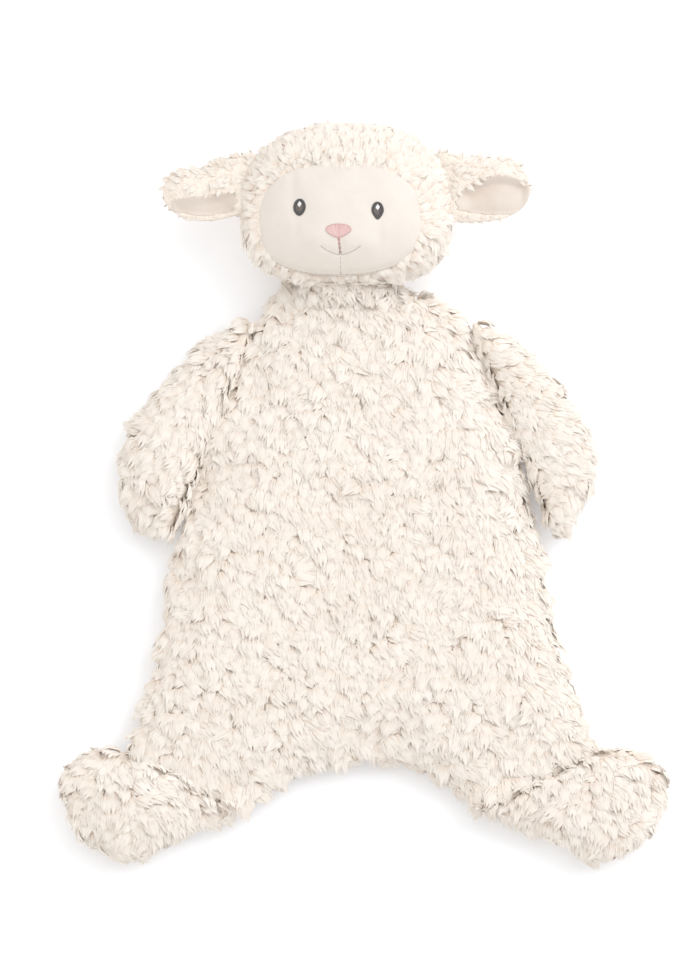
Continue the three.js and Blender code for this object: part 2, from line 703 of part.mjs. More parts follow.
function limb(name, side, sizes) {
  const { outline, middle, rise, wall, stuffingInset, seamLength, start, end } = sizes;
  const mirrored = (points) => points.map((point) => new THREE.Vector2(point.x, side * point.y));
  const edge = mirrored(outline);
  const centre = mirrored([middle])[0];
  const stuffing = (grow) =>
    quilt(
      inset(mirrored(sizes.coarseOutline), centre, stuffingInset - grow),
      centre,
      STUFFING_RING_SHARES,
      (x, y, share) => (rise - wall + grow) * limbSwell(share),
      (x, y, share) => -(TORSO_DROP - wall - FLOOR_CUT + grow) * limbSwell(share),
    );
  const hollow = stuffing(CLEARANCE);
  const topAt = (x, y, share) => HALF_CLEARANCE + rise * limbSwell(share);
  const bottomAt = (x, y, share) => -HALF_CLEARANCE - TORSO_DROP * limbSwell(share);
  const upper = quilt(edge, centre, LIMB_RING_SHARES, topAt, () => HALF_CLEARANCE);
  const lower = quilt(edge, centre, LIMB_RING_SHARES, () => -HALF_CLEARANCE, bottomAt);
  const thread = rod(new THREE.Vector3(0, 0, 0), new THREE.Vector3(seamLength, 0, 0), SEAM_RADIUS, CORD_SIDES);
  const group = new THREE.Group();
  const along = end.clone().sub(start);
  const outwards = new THREE.Vector2(-along.y, along.x).normalize().multiplyScalar(side * HINGE_OFFSET);
  group.position.set(start.x + outwards.x, start.y + outwards.y, SEAM_Z);
  group.rotation.z = Math.atan2(along.y, along.x);
  group.add(
    piece(`${name}_front_plush`, upper.subtract(hollow), "plush"),
    piece(`${name}_back_plush`, pressedFlat(lower, LIMB_FLOOR).subtract(hollow), "plush"),
    piece(`${name}_stuffing`, stuffing(0), "filling"),
    piece(`${name}_seam_thread`, thread, "seamThread"),
  );
  return group;
}

// A limb's outline: a straight edge along its seam and a smooth line round the rest.
function limbOutline(rows, length, width, seamLength, steps) {
  const offset = new THREE.Vector2(0, HINGE_OFFSET);
  const start = new THREE.Vector2(0, 0).add(offset);
  const end = new THREE.Vector2(seamLength, 0).add(offset);
  const round = lerpShares(rows, length, width).map((point) => point.add(offset));
  return joined(smoothLine([...round, end], steps), straightLine(end, start, SEAM_STEPS)).slice(0, -1);
}

const torsoPoint = ([across, down], side) =>
  new THREE.Vector2(side * across * TORSO_HALF_WIDTH, -down * TORSO_LENGTH);

function arm(name, side) {
  const outline = (steps) => limbOutline(ARM_SHARES, ARM_LENGTH, ARM_WIDTH, ARM_SEAM_LENGTH, steps);
  return limb(name, side, {
    outline: outline(LIMB_STEPS),
    coarseOutline: outline(STUFFING_STEPS),
    middle: new THREE.Vector2(ARM_LENGTH * 0.6, ARM_WIDTH * 0.48),
    rise: ARM_RISE,
    wall: ARM_WALL,
    stuffingInset: ARM_STUFFING_INSET,
    seamLength: ARM_SEAM_LENGTH,
    start: torsoPoint(NECK_CORNER_SHARES.at(-1), side),
    end: torsoPoint(FLANK_SHARES[0], side),
  });
}

function foot(name, side) {
  const outline = (steps) => limbOutline(FOOT_SHARES, FOOT_WIDTH, FOOT_LENGTH, FOOT_WIDTH, steps);
  return limb(name, side, {
    outline: outline(LIMB_STEPS),
    coarseOutline: outline(STUFFING_STEPS),
    middle: new THREE.Vector2(FOOT_WIDTH * 0.25, FOOT_LENGTH * 0.5),
    rise: FOOT_RISE,
    wall: FOOT_WALL,
    stuffingInset: FOOT_STUFFING_INSET,
    seamLength: FOOT_WIDTH,
    start: torsoPoint(FLANK_SHARES.at(-1), side),
    end: torsoPoint(HEM_SHARES[0], side),
  });
}

// Assembly

const lamb = new THREE.Group();
lamb.add(
  ...torso(),
  piece("neck_plug", neckShape(), "filling"),
  head(),
  arm("left_arm", -1),
  arm("right_arm", 1),
  foot("left_foot", -1),
  foot("right_foot", 1),
);
const box = new THREE.Box3().setFromObject(lamb, true);
const middle = box.getCenter(new THREE.Vector3());
lamb.position.set(-middle.x, -middle.y, 0);

const part = new THREE.Group();
part.add(lamb);
export default part;
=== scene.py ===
"""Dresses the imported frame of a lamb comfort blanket: cloth, pile, embroidery, light and camera."""

from __future__ import annotations

import logging
import math
from collections.abc import Callable, Sequence
from dataclasses import dataclass, field
from enum import Enum
from functools import partial

import bpy
import numpy as np
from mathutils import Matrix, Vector


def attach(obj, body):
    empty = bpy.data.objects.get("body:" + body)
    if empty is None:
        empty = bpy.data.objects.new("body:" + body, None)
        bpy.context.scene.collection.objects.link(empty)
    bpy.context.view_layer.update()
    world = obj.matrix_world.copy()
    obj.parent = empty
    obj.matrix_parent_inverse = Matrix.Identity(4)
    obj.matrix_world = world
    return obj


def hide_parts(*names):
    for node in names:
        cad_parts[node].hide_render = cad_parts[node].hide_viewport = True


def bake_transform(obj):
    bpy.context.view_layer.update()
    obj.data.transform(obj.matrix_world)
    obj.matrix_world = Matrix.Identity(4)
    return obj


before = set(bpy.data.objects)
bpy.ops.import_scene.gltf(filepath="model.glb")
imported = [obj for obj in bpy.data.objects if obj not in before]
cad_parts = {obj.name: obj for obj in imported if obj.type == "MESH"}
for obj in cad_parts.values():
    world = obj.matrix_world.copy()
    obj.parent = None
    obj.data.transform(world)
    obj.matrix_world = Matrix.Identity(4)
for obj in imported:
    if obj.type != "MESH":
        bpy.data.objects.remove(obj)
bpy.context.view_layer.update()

LOG = logging.getLogger("lamb")
MM = 0.001
UP = np.array((0.0, 0.0, 1.0))
Pair = tuple[float, float]
Triple = tuple[float, float, float]
Array = np.ndarray
Material = bpy.types.Material
Object = bpy.types.Object
Socket = bpy.types.NodeSocket
CLOTH_FLOOR = 1.4 * MM  # the lowest that cloth lies, so that there is room for pile below it
FRAMES = 16  # how long the cloth is blown up

# Values over a surface: of places and normals, of places and ring shares, or of x and y
Field = Callable[[Array, Array], Array]

# Outlines, as shares of a length and a width
NECK_CORNER = ((0.3, 0), (0.39, 0.015), (0.433, 0.045))
FLANK = ((0.68, 0.311), (0.775, 0.447), (0.826, 0.536), (0.87, 0.672), (0.938, 0.79), (1, 0.888))
HEM = ((0.528, 1), (0.35, 0.951), (0.17, 0.918), (0, 0.91))
ARM = (
    (0, 0), (0.07, 0.2), (0.165, 0.47), (0.33, 0.72), (0.49, 0.91), (0.63, 1),
    (0.79, 0.93), (0.91, 0.74), (0.98, 0.5), (1, 0.24), (0.98, 0.03), (0.88, -0.02),
)
FOOT = (
    (0, 0), (-0.25, 0.14), (-0.39, 0.36), (-0.38, 0.6), (-0.24, 0.79), (-0.07, 0.94),
    (0.18, 1), (0.43, 0.94), (0.58, 0.74), (0.71, 0.48), (0.86, 0.25),
)
LEFT_EAR = (
    (-0.25, 1.0), (0.02, 1.04), (0.23, 0.95), (0.43, 0.76), (0.68, 0.7), (0.9, 0.54), (0.99, 0.0),
    (0.95, -0.5), (0.84, -0.84), (0.66, -1.08), (0.46, -1.15), (0.23, -1.1), (0.0, -0.94), (-0.25, -0.8),
)
RIGHT_EAR = (
    (-0.25, 1.0), (0.05, 1.08), (0.35, 1.08), (0.6, 1.06), (0.82, 0.88), (0.96, 0.4), (0.98, -0.05),
    (0.93, -0.5), (0.8, -0.86), (0.57, -1.1), (0.3, -1.18), (0.05, -1.16), (-0.25, -0.9),
)


class Side(Enum):
    """Which side of the photograph a paired piece is on."""

    LEFT = -1
    RIGHT = 1

    @property
    def word(self) -> str:
        """The side's name, as the frame's nodes spell it."""
        return self.name.lower()


class LimbKind(Enum):
    """What a limb is, as the frame's nodes spell it."""

    ARM = "arm"
    FOOT = "foot"


class Thread(Enum):
    """The kinds of thread: the material slot, and the two ends of the shade as sRGB hex."""

    RIM = ("dark_thread", "0f0c0a", "2a211c")
    IRIS = ("dark_thread", "352c26", "63564c")
    GLINT = ("white_thread", "ffffff", "f6f2ec")
    NOSE = ("pink_thread", "dba09c", "f2c8c2")
    NOSE_RIM = ("pink_thread", "cb8d8a", "dda9a5")
    LIP = ("pink_thread", "d3938d", "86695c")
    SMILE = ("grey_thread", "ab9aa0", "c6b8ae")
    SEAM = ("seam_thread", "b19b8a", "cbb8a7")


def linear(colour: str) -> tuple[float, ...]:
    """Turns an sRGB hex colour into linear light, with an alpha of one."""
    parts = [int(colour[i : i + 2], 16) / 255 for i in (0, 2, 4)]
    return (*(c / 12.92 if c <= 0.04045 else ((c + 0.055) / 1.055) ** 2.4 for c in parts), 1.0)


# Node trees


@dataclass
class Number:
    """A number that varies over a surface: a socket that Python expressions can use."""

    tree: Tree
    socket: Socket

    def maths(self, operation: str, first: object, second: object, clamp: bool = False) -> Number:
        """Adds one Math node for two numbers, whose result may be kept from 0 to 1."""
        settings = {"operation": operation, "use_clamp": clamp}
        return self.tree.number("ShaderNodeMath", settings, {0: first, 1: second})

    def __add__(self, other: object) -> Number:
        """self + other."""
        return self.maths("ADD", self, other)

    def __sub__(self, other: object) -> Number:
        """self - other."""
        return self.maths("SUBTRACT", self, other)

    def __rsub__(self, other: object) -> Number:
        """other - self."""
        return self.maths("SUBTRACT", other, self)

    def __mul__(self, other: object) -> Number:
        """self * other."""
        return self.maths("MULTIPLY", self, other)

    def __rtruediv__(self, other: object) -> Number:
        """other / self."""
        return self.maths("DIVIDE", other, self)

    def held(self) -> Number:
        """The number kept from 0 to 1."""
        return self.maths("ADD", self, 0.0, clamp=True)


@dataclass
class Tree:
    """A node tree that is built from Python."""

    tree: bpy.types.NodeTree

    def node(self, kind: str, settings: dict | None = None, inputs: dict | None = None) -> bpy.types.Node:
        """Adds one node.

        Args:
            kind: The node's type.
            settings: Its properties, which are set first.
            inputs: Values or links of its sockets, by name or place.

        Returns:
            The node.
        """
        made = self.tree.nodes.new(kind)
        for key, value in (settings or {}).items():
            setattr(made, key, value)
        for key, value in (inputs or {}).items():
            self.feed(made.inputs[key], value)
        return made

    def feed(self, socket: Socket, value: object) -> None:
        """Links a socket, or sets its value.

        Args:
            socket: The input to feed.
            value: A Number, a socket or a plain value.
        """
        source = value.socket if isinstance(value, Number) else value
        if isinstance(source, Socket):
            self.tree.links.new(source, socket)
        else:
            socket.default_value = source

    def number(self, kind: str, settings: dict, inputs: dict, output: int | str = 0) -> Number:
        """Adds a node and returns one of its outputs for expressions."""
        return Number(self, self.node(kind, settings, inputs).outputs[output])

    def stored(self, name: str, kind: str = "FLOAT") -> Number:
        """A value that the geometry's points carry."""
        return self.number("GeometryNodeInputNamedAttribute", {"data_type": kind}, {"Name": name})

    def store(self, geometry: object, name: str, value: object, kind: str, domain: str) -> Socket:
        """Adds a node that stores a value of some kind on one domain of the geometry."""
        inputs = {"Geometry": geometry, "Name": name, "Value": value}
        return self.node("GeometryNodeStoreNamedAttribute", {"data_type": kind, "domain": domain}, inputs).outputs[0]


def node_group(name: str, inputs: dict[str, str]) -> tuple[Tree, dict[str, str]]:
    """Starts a tree of geometry nodes.

    Args:
        name: The tree's name.
        inputs: The kind of each input besides the geometry, by name.

    Returns:
        The tree, and the identifier of each input's socket.
    """
    tree = bpy.data.node_groups.new(name, "GeometryNodeTree")
    face = tree.interface
    face.new_socket("Geometry", in_out="INPUT", socket_type="NodeSocketGeometry")
    sockets = {
        key: face.new_socket(key, in_out="INPUT", socket_type=f"NodeSocket{kind}").identifier
        for key, kind in inputs.items()
    }
    face.new_socket("Geometry", in_out="OUTPUT", socket_type="NodeSocketGeometry")
    return Tree(tree), sockets


class Paint(Tree):
    """The node tree of one material, whose shader stands ready."""

    def __init__(self, name: str, roughness: float, sheen: float, constants: dict | None = None) -> None:
        """Starts a material.

        Args:
            name: The material's name.
            roughness: The shader's roughness.
            sheen: The weight of the soft light that cloth gives back at its edges.
            constants: Other constant values of the shader's sockets.
        """
        self.material = bpy.data.materials.new(name)
        self.material.use_nodes = True
        super().__init__(self.material.node_tree)
        self.shader = self.tree.nodes["Principled BSDF"]
        values = {"Roughness": roughness, "Sheen Weight": sheen, "Sheen Roughness": 0.6, **(constants or {})}
        for key, value in values.items():
            self.shader.inputs[key].default_value = value

    def place(self) -> Socket:
        """The point on the piece, in metres."""
        return self.node("ShaderNodeTexCoord").outputs["Object"]

    def attribute(self, name: str) -> Number:
        """A number that the piece's mesh carries."""
        return self.number("ShaderNodeAttribute", {"attribute_name": name}, {}, "Fac")

    def noise(self, grain: float, detail: float = 3.0, rough: float = 0.6) -> Number:
        """Noise, mostly from 0.3 to 0.7, whose grains have a real size in metres."""
        inputs = {"Vector": self.place(), "Scale": 1 / grain, "Detail": detail, "Roughness": rough}
        return self.number("ShaderNodeTexNoise", {}, inputs)

    def shade(self, share: object, low: str | Socket, high: str | Socket) -> Socket:
        """A colour between two, which are sRGB hex or sockets."""
        low, high = (linear(colour) if isinstance(colour, str) else colour for colour in (low, high))
        return self.node("ShaderNodeMix", {"data_type": "RGBA"}, {0: share, 6: low, 7: high}).outputs[2]

    def finish(self, colour: Socket, height: Number | None = None, depth: float = 0.0) -> Material:
        """Feeds the shader.

        Args:
            colour: The base colour.
            height: The relief, from 0 to 1.
            depth: The relief's height in metres.

        Returns:
            The material.
        """
        self.feed(self.shader.inputs["Base Color"], colour)
        if height is not None:
            bump = self.node("ShaderNodeBump", {}, {"Strength": 1.0, "Distance": depth, "Height": height})
            self.feed(self.shader.inputs["Normal"], bump.outputs[0])
        return self.material


# Finishes


@dataclass(frozen=True)
class PileFinish:
    """Cream polyester pile, nearly white at the tips; its roots are painted a little darker and warmer as shade deep
    between the locks.
    """

    name: str = "cream_pile"
    # painted shade: the root colour stands in for the shade deep in the pile, between the locks
    root: str = "ecd5be"
    low: str = "ebddce"
    high: str = "f6ede1"
    roughness: float = 0.85
    sheen: float = 0.3
    fibres_across: float = 7.0
    fibres_apart: float = 60.0
    fibres_along: float = 1.6
    streaks: float = 0.7
    # how quickly the painted root shade fades out up each lock
    root_fade: float = 1.8
    relief: float = 0.05 * MM

    def material(self) -> Material:
        """Builds the material, which reads how far up its lock and how light a lock each point is.

        Returns:
            The material.
        """
        paint = Paint(self.name, self.roughness, self.sheen)
        strand = paint.attribute("strand")
        tone = paint.attribute("tone")
        place = paint.node("ShaderNodeCombineXYZ", {}, {
            "X": paint.attribute("across") * self.fibres_across,
            "Y": tone * self.fibres_apart,
            "Z": strand * self.fibres_along,
        })
        fibres = paint.number("ShaderNodeTexNoise", {}, {"Vector": place.outputs[0], "Scale": 1.0, "Detail": 2.0})
        tip = paint.shade((tone + (fibres - 0.5) * self.streaks).held(), self.low, self.high)
        # Painted shade: the darker, warmer root colour fades into the tip colour a little over halfway up each lock,
        # standing in for the shade between locks
        colour = paint.shade((strand * self.root_fade).held(), self.root, tip)
        return paint.finish(colour, fibres, self.relief)


@dataclass(frozen=True)
class BackingFinish:
    """The knitted cloth that the pile stands on."""

    name: str = "knitted_backing"
    low: str = "f0e0cf"
    high: str = "f5e8d9"
    roughness: float = 0.95
    sheen: float = 0.1
    loop: float = 0.9 * MM
    patch: float = 12 * MM
    relief: float = 0.4 * MM

    def material(self) -> Material:
        """Builds the material: knit loops with uneven shade.

        Returns:
            The material.
        """
        paint = Paint(self.name, self.roughness, self.sheen)
        inputs = {"Vector": paint.place(), "Scale": 1 / self.loop}
        loops = paint.number("ShaderNodeTexVoronoi", {}, inputs, "Distance")
        colour = paint.shade(paint.noise(self.patch), self.low, self.high)
        return paint.finish(colour, 1 - loops, self.relief)


@dataclass(frozen=True)
class VelourFinish:
    """Smooth short-napped velour."""

    name: str
    low: str
    high: str
    nap: float = 0.7 * MM
    wave: float = 3 * MM
    patch: float = 11 * MM
    relief: float = 0.18 * MM
    roughness: float = 0.8
    sheen: float = 0.25

    def material(self) -> Material:
        """Builds the material: a fine nap over faint brushed patches.

        Returns:
            The material.
        """
        paint = Paint(self.name, self.roughness, self.sheen)
        nap = paint.noise(self.nap, 2.0)
        patches = paint.noise(self.patch, 2.0)
        share = ((patches - 0.5) * 1.6 + (nap - 0.5) * 0.7 + 0.5).held()
        height = nap * 0.8 + paint.noise(self.wave) * 0.6
        return paint.finish(paint.shade(share, self.low, self.high), height, self.relief)


@dataclass(frozen=True)
class ThreadFinish:
    """Embroidery or sewing thread of one shade."""

    thread: Thread
    roughness: float = 0.42
    sheen: float = 0.2
    twist: float = 3200.0
    relief: float = 0.05 * MM

    def material(self) -> Material:
        """Builds the material: twisted strands whose shade follows each stitch's tone.

        Returns:
            The material.
        """
        paint = Paint(f"{self.thread.name.lower()}_thread", self.roughness, self.sheen)
        inputs = {"Vector": paint.place(), "Scale": self.twist, "Distortion": 2.0}
        twist = paint.number("ShaderNodeTexWave", {"bands_direction": "DIAGONAL"}, inputs, "Fac")
        share = (paint.attribute("tone") + (twist - 0.5) * 0.25).held()
        return paint.finish(paint.shade(share, *self.thread.value[1:]), twist, self.relief)


# Meshes


def new_piece(name: str, points: Array, faces: Sequence, material: Material | None = None) -> Object:
    """Makes a smooth-shaded mesh object at the origin.

    Args:
        name: The object's name.
        points: Its vertices, in metres.
        faces: Its faces, as lists of vertex numbers.
        material: Its material.

    Returns:
        The object, linked to the scene.
    """
    mesh = bpy.data.meshes.new(name)
    mesh.from_pydata(np.asarray(points, float).tolist(), [], [list(map(int, f)) for f in faces])
    mesh.polygons.foreach_set("use_smooth", np.ones(len(mesh.polygons), bool))
    if material:
        mesh.materials.append(material)
    mesh.update()
    obj = bpy.data.objects.new(name, mesh)
    bpy.context.scene.collection.objects.link(obj)
    return obj


def made_plain(obj: Object) -> Object:
    """Puts the object's evaluated mesh in place of its own, and drops its modifiers.

    Args:
        obj: The object.

    Returns:
        The same object.
    """
    graph = bpy.context.evaluated_depsgraph_get()
    evaluated = obj.evaluated_get(graph)
    mesh = bpy.data.meshes.new_from_object(evaluated, preserve_all_data_layers=True, depsgraph=graph)
    obj.modifiers.clear()
    old = obj.data
    obj.data = mesh
    mesh.name = obj.name
    bpy.data.meshes.remove(old)
    return obj


def subdivided(obj: Object) -> Object:
    """Splits every face of the object once, smoothly.

    Args:
        obj: The object, with any modifiers that act before.

    Returns:
        The same object.
    """
    surface = obj.modifiers.new("smooth", "SUBSURF")
    surface.levels = surface.render_levels = 1
    return made_plain(obj)


def column(items: Sequence, key: str, width: int = 1, kind: type = np.float32) -> Array:
    """Reads one property of many items.

    Args:
        items: Vertices, corners, faces or the values of an attribute.
        key: The property.
        width: How many numbers it has.
        kind: What kind of number they are.

    Returns:
        A row for each item, or a number for each where the width is one.
    """
    found = np.empty(len(items) * width, kind)
    items.foreach_get(key, found)
    return found.reshape(-1, width) if width > 1 else found


def places_of(obj: Object) -> Array:
    """The object's vertices, one row each."""
    return column(obj.data.vertices, "co", 3).astype(float)


def put_places(obj: Object, points: Array) -> None:
    """Moves the object's vertices to new places."""
    obj.data.vertices.foreach_set("co", np.asarray(points, np.float32).ravel())
    obj.data.update()


def normals_of(obj: Object) -> Array:
    """The object's vertex normals, one row each."""
    return np.array([n.vector for n in obj.data.vertex_normals], float).reshape(-1, 3)


def carry(obj: Object, name: str, values: Array) -> None:
    """Stores a number or a vector on each of the object's vertices."""
    kind, key = ("FLOAT", "value") if values.ndim == 1 else ("FLOAT_VECTOR", "vector")
    obj.data.attributes.new(name, kind, "POINT").data.foreach_set(key, np.asarray(values, np.float32).ravel())


def picked(obj: Object, faces: Sequence[Sequence[int]]) -> tuple[Array, Array, list[list[int]]]:
    """Picks some of an object's faces for a mesh of their own.

    Args:
        obj: The object.
        faces: The faces, as lists of its vertex numbers.

    Returns:
        Their vertices' places and normals, and the faces with the new numbers.
    """
    used = np.unique(np.concatenate([np.array(f) for f in faces]))
    numbers = {int(old): new for new, old in enumerate(used)}
    return places_of(obj)[used], normals_of(obj)[used], [[numbers[v] for v in f] for f in faces]


def ring_faces(rings: int, count: int, first: int = 0) -> list[tuple[int, ...]]:
    """Joins rings of vertices by faces of four corners, ring by ring."""
    corners = [(first + k * count, i, (i + 1) % count) for k in range(rings - 1) for i in range(count)]
    return [(a + i, a + j, a + count + j, a + count + i) for a, i, j in corners]


def smooth_line(points: Array, steps: int, closed: bool = False) -> Array:
    """Draws a smooth line through points and spaces it evenly.

    Args:
        points: The points, one row each.
        steps: How many stretches the line gets.
        closed: Whether it runs back to its start.

    Returns:
        Points on the line: one more than the steps, or as many where it is closed.
    """
    p = np.asarray(points, float)
    q = np.vstack([p[-1:], p, p[:2]]) if closed else np.vstack([2 * p[0] - p[1], p, 2 * p[-1] - p[-2]])
    t = np.linspace(0, 1, 16, endpoint=False)[:, None]
    runs = [
        0.5 * (2 * b + (c - a) * t + (2 * a - 5 * b + 4 * c - d) * t**2 + (3 * b - a - 3 * c + d) * t**3)
        for a, b, c, d in zip(q, q[1:], q[2:], q[3:])
    ]
    line = np.vstack([*runs, q[-2:-1]])
    along = np.concatenate([[0], np.cumsum(np.linalg.norm(np.diff(line, axis=0), axis=1))])
    wanted = np.linspace(0, along[-1], steps + 1)[: steps if closed else steps + 1]
    return np.column_stack([np.interp(wanted, along, line[:, i]) for i in range(p.shape[1])])


def straight(start: Sequence[float], end: Sequence[float], steps: int) -> Array:
    """Evenly spaced points on a straight line."""
    return np.linspace(np.asarray(start, float), np.asarray(end, float), steps + 1)


def pulled_in(outline: Array, middle: Array, distance: Array) -> Array:
    """Pulls each point of an outline in towards the middle by its own distance."""
    reach = np.linalg.norm(outline - middle, axis=1, keepdims=True)
    return middle + (outline - middle) * np.maximum(reach - distance[:, None], 0) / reach


def soft_step(value: Array, low: float, high: float) -> Array:
    """Rises smoothly from 0 to 1 between two values."""
    t = np.clip((value - low) / (high - low), 0, 1)
    return t * t * (3 - 2 * t)


def facing_up(normals: Array) -> Array:
    """Whether each place faces up, from 0 to 1."""
    return soft_step(normals[:, 2], -0.2, 0.2)


def shorter_behind(normals: Array) -> Array:
    """The size of the locks where they are full in front and shorter on the back."""
    return 1 - 0.3 * soft_step(-normals[:, 2], -0.1, 0.7)


@dataclass
class Swell:
    """A closed swelled form over an outline, drawn as rings round its middle."""

    outline: Array
    middle: Array
    top: Field
    bottom: Field
    rings: tuple[float, ...] = (1, 0.985, 0.95, 0.89, 0.8, 0.68, 0.53, 0.36, 0.18, 0)

    def build(self, name: str) -> Object:
        """Makes the mesh, whose two surfaces are joined along the outline.

        Args:
            name: The object's name.

        Returns:
            The object.
        """
        count, rings = len(self.outline), len(self.rings) - 1
        points, faces = [], []
        for heights, turned in ((self.top, 1), (self.bottom, -1)):
            base = len(points)
            for share in self.rings[:-1]:
                places = self.middle + (self.outline - self.middle) * share
                points.extend(np.column_stack([places, heights(places, np.full(count, share))]))
            points.append(np.array([*self.middle, heights(self.middle[None], np.zeros(1))[0]]))
            centre = len(points) - 1
            fan = [(centre - count + i, centre - count + (i + 1) % count, centre) for i in range(count)]
            faces.extend(face[::turned] for face in ring_faces(rings, count, base) + fan)
        low = rings * count + 1
        faces.extend((low + i, low + (i + 1) % count, (i + 1) % count, i) for i in range(count))
        obj = new_piece(name, np.array(points), faces)
        weld = obj.modifiers.new("weld", "WELD")
        weld.merge_threshold = 1e-6
        return made_plain(obj)


# Cloth


@dataclass
class Cushion:
    """A stuffed piece: cloth that is blown up a little and then dressed."""

    name: str
    body: str
    stands_for: tuple[str, ...]
    form: Swell
    fill: float = 0.6
    voxel: float = 4.5 * MM
    pressure: float = 4.0
    cap: float = 2.0 * MM
    mass: float = 0.1
    stiffness: float = 8.0
    bending: float = 0.5
    piece: Object | None = None

    def cut(self) -> None:
        """Makes the cloth as an even mesh of small faces."""
        self.piece = self.form.build(self.name)
        remesh = self.piece.modifiers.new("even_faces", "REMESH")
        remesh.mode = "VOXEL"
        remesh.voxel_size = self.voxel
        remesh.use_smooth_shade = True
        made_plain(self.piece)

    def tie(self) -> None:
        """Adds the cloth simulation."""
        cloth = self.piece.modifiers.new("cloth", "CLOTH")
        settings = cloth.settings
        settings.quality = 4
        settings.mass = self.mass
        settings.use_pressure = True
        settings.uniform_pressure_force = self.pressure
        settings.effector_weights.gravity = 0
        settings.tension_stiffness = settings.compression_stiffness = self.stiffness
        settings.bending_stiffness = self.bending
        cloth.point_cache.frame_start, cloth.point_cache.frame_end = 1, FRAMES

    def settle(self, rest: Array) -> None:
        """Keeps the simulated places, no further than the cap from the cut ones.

        Args:
            rest: The vertices' places as cut.
        """
        evaluated = self.piece.evaluated_get(bpy.context.evaluated_depsgraph_get())
        moved = places_of(evaluated) - rest
        reach = np.linalg.norm(moved, axis=1, keepdims=True)
        held = rest + moved * np.minimum(1, self.cap / np.maximum(reach, 1e-9))
        self.piece.modifiers.clear()
        put_places(self.piece, held)

    def smooth(self, material: Material) -> None:
        """Subdivides the cloth once, lays it on the floor and gives it its material.

        Args:
            material: The material.
        """
        points = places_of(subdivided(self.piece))
        points[:, 2] = np.maximum(points[:, 2], CLOTH_FLOOR)
        put_places(self.piece, points)
        mesh = self.piece.data
        mesh.materials.clear()
        mesh.materials.append(material)
        mesh.polygons.foreach_set("use_smooth", np.ones(len(mesh.polygons), bool))

    def place(self) -> None:
        points = places_of(self.piece) / MM
        LOG.info("%s: from %s to %s mm", self.name, points.min(axis=0).round(1), points.max(axis=0).round(1))
        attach(self.piece, self.body)
        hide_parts(*self.stands_for)


def blow_up(cushions: Sequence[Cushion]) -> None:
    """Simulates the cloth of all cushions at once.

    Args:
        cushions: The cushions, already cut.
    """
    rest = [places_of(c.piece) for c in cushions]
    for cushion in cushions:
        cushion.tie()
    for number in range(1, FRAMES + 1):
        bpy.context.scene.frame_set(number)
    for cushion, places in zip(cushions, rest):
        cushion.settle(places)
    bpy.context.scene.frame_set(1)


# Pile


@dataclass
class Lock:
    """One lock of pile: fingers of fibre that rise side by side, bend over and draw together in a tip."""

    fingers: int = 6
    half_width: float = 2.2 * MM
    length: float = 9.6 * MM
    height: float = 2.4 * MM
    stations: tuple[Pair, ...] = ((0.2, 0.56), (0.66, 0.74))
    breadth: float = 1.6
    strays: int = 4
    stray_stations: tuple[Pair, ...] = ((0.3, 0.22), (0.72, 0.17))

    def finger(self, root: Array, bend: Array, tip: Array, stations: Sequence[Pair]) -> tuple[list, list]:
        """Makes one closed finger of three sides along a curve.

        Args:
            root: Where it starts, under the cloth.
            bend: The point that it bends towards.
            tip: Where it ends.
            stations: How far along it and how thick in millimetres each of its rings is.

        Returns:
            Its points and faces.
        """
        points, faces = [root], []
        for t, radius in stations:
            centre = (1 - t) ** 2 * root + 2 * t * (1 - t) * bend + t**2 * tip
            along = unit(2 * (1 - t) * (bend - root) + 2 * t * (tip - bend))
            side = unit(np.cross(UP, along))
            lift = np.cross(along, side)
            for turn in (math.pi / 2, math.pi * 7 / 6, math.pi * 11 / 6):
                offset = side * math.cos(turn) * self.breadth + lift * math.sin(turn) * 0.75
                points.append(centre + offset * radius * MM)
        points.append(tip)
        last = len(points) - 1
        for k in range(3):
            n = (k + 1) % 3
            faces.append((0, 1 + n, 1 + k))
            for a in range(1, last - 3, 3):
                faces.append((a + k, a + n, a + 3 + n, a + 3 + k))
            faces.append((last - 3 + k, last - 3 + n, last))
        return points, faces

    def build(self, name: str, seed: int) -> Object:
        """Makes the lock's mesh, which lies towards +X.

        Args:
            name: The object's name.
            seed: The seed of the lock's shape.

        Returns:
            The object, which is in no scene.
        """
        rng = np.random.default_rng(seed)
        points, faces, strand, across = [], [], [], []
        lean = rng.uniform(-0.2, 0.2) * self.length
        bow = rng.uniform(-0.15, 0.15) * self.length
        for i in range(self.fingers + self.strays):
            stray = i >= self.fingers
            stations = self.stray_stations if stray else self.stations
            place = rng.uniform(-1.3, 1.3) if stray else 2 * i / (self.fingers - 1) - 1
            reach = self.length * rng.uniform(0.74, 1.08) * (1 - 0.12 * abs(place))
            rise = self.height * (1 - 0.22 * place**2) * rng.uniform(0.9, 1.12) * (1.3 if stray else 1)
            root = np.array([rng.uniform(-0.5, 0.5) * MM, place * self.half_width * 0.7, -0.4 * MM])
            bend = np.array([reach * 0.22, place * self.half_width * 1.75 + bow, rise * 1.7])
            spread, wander = (1.1, 0.9) if stray else (0.7, 0.3)
            tip_y = lean + place * self.half_width * spread + rng.normal(0, wander) * MM
            tip = np.array([reach, tip_y, rise * rng.uniform(0.5, 0.85)])
            made, joined = self.finger(root, bend, tip, stations)
            faces.extend(tuple(len(points) + v for v in face) for face in joined)
            points.extend(made)
            strand.extend([0.0, *(t for t, _ in stations for _ in range(3)), 1.0])
            across.extend([place, *((place, place - 0.3, place + 0.3) * len(stations)), place])
        obj = new_piece(name, np.array(points), faces)
        carry(obj, "strand", np.array(strand))
        carry(obj, "across", np.array(across))
        bpy.context.scene.collection.objects.unlink(obj)
        return obj


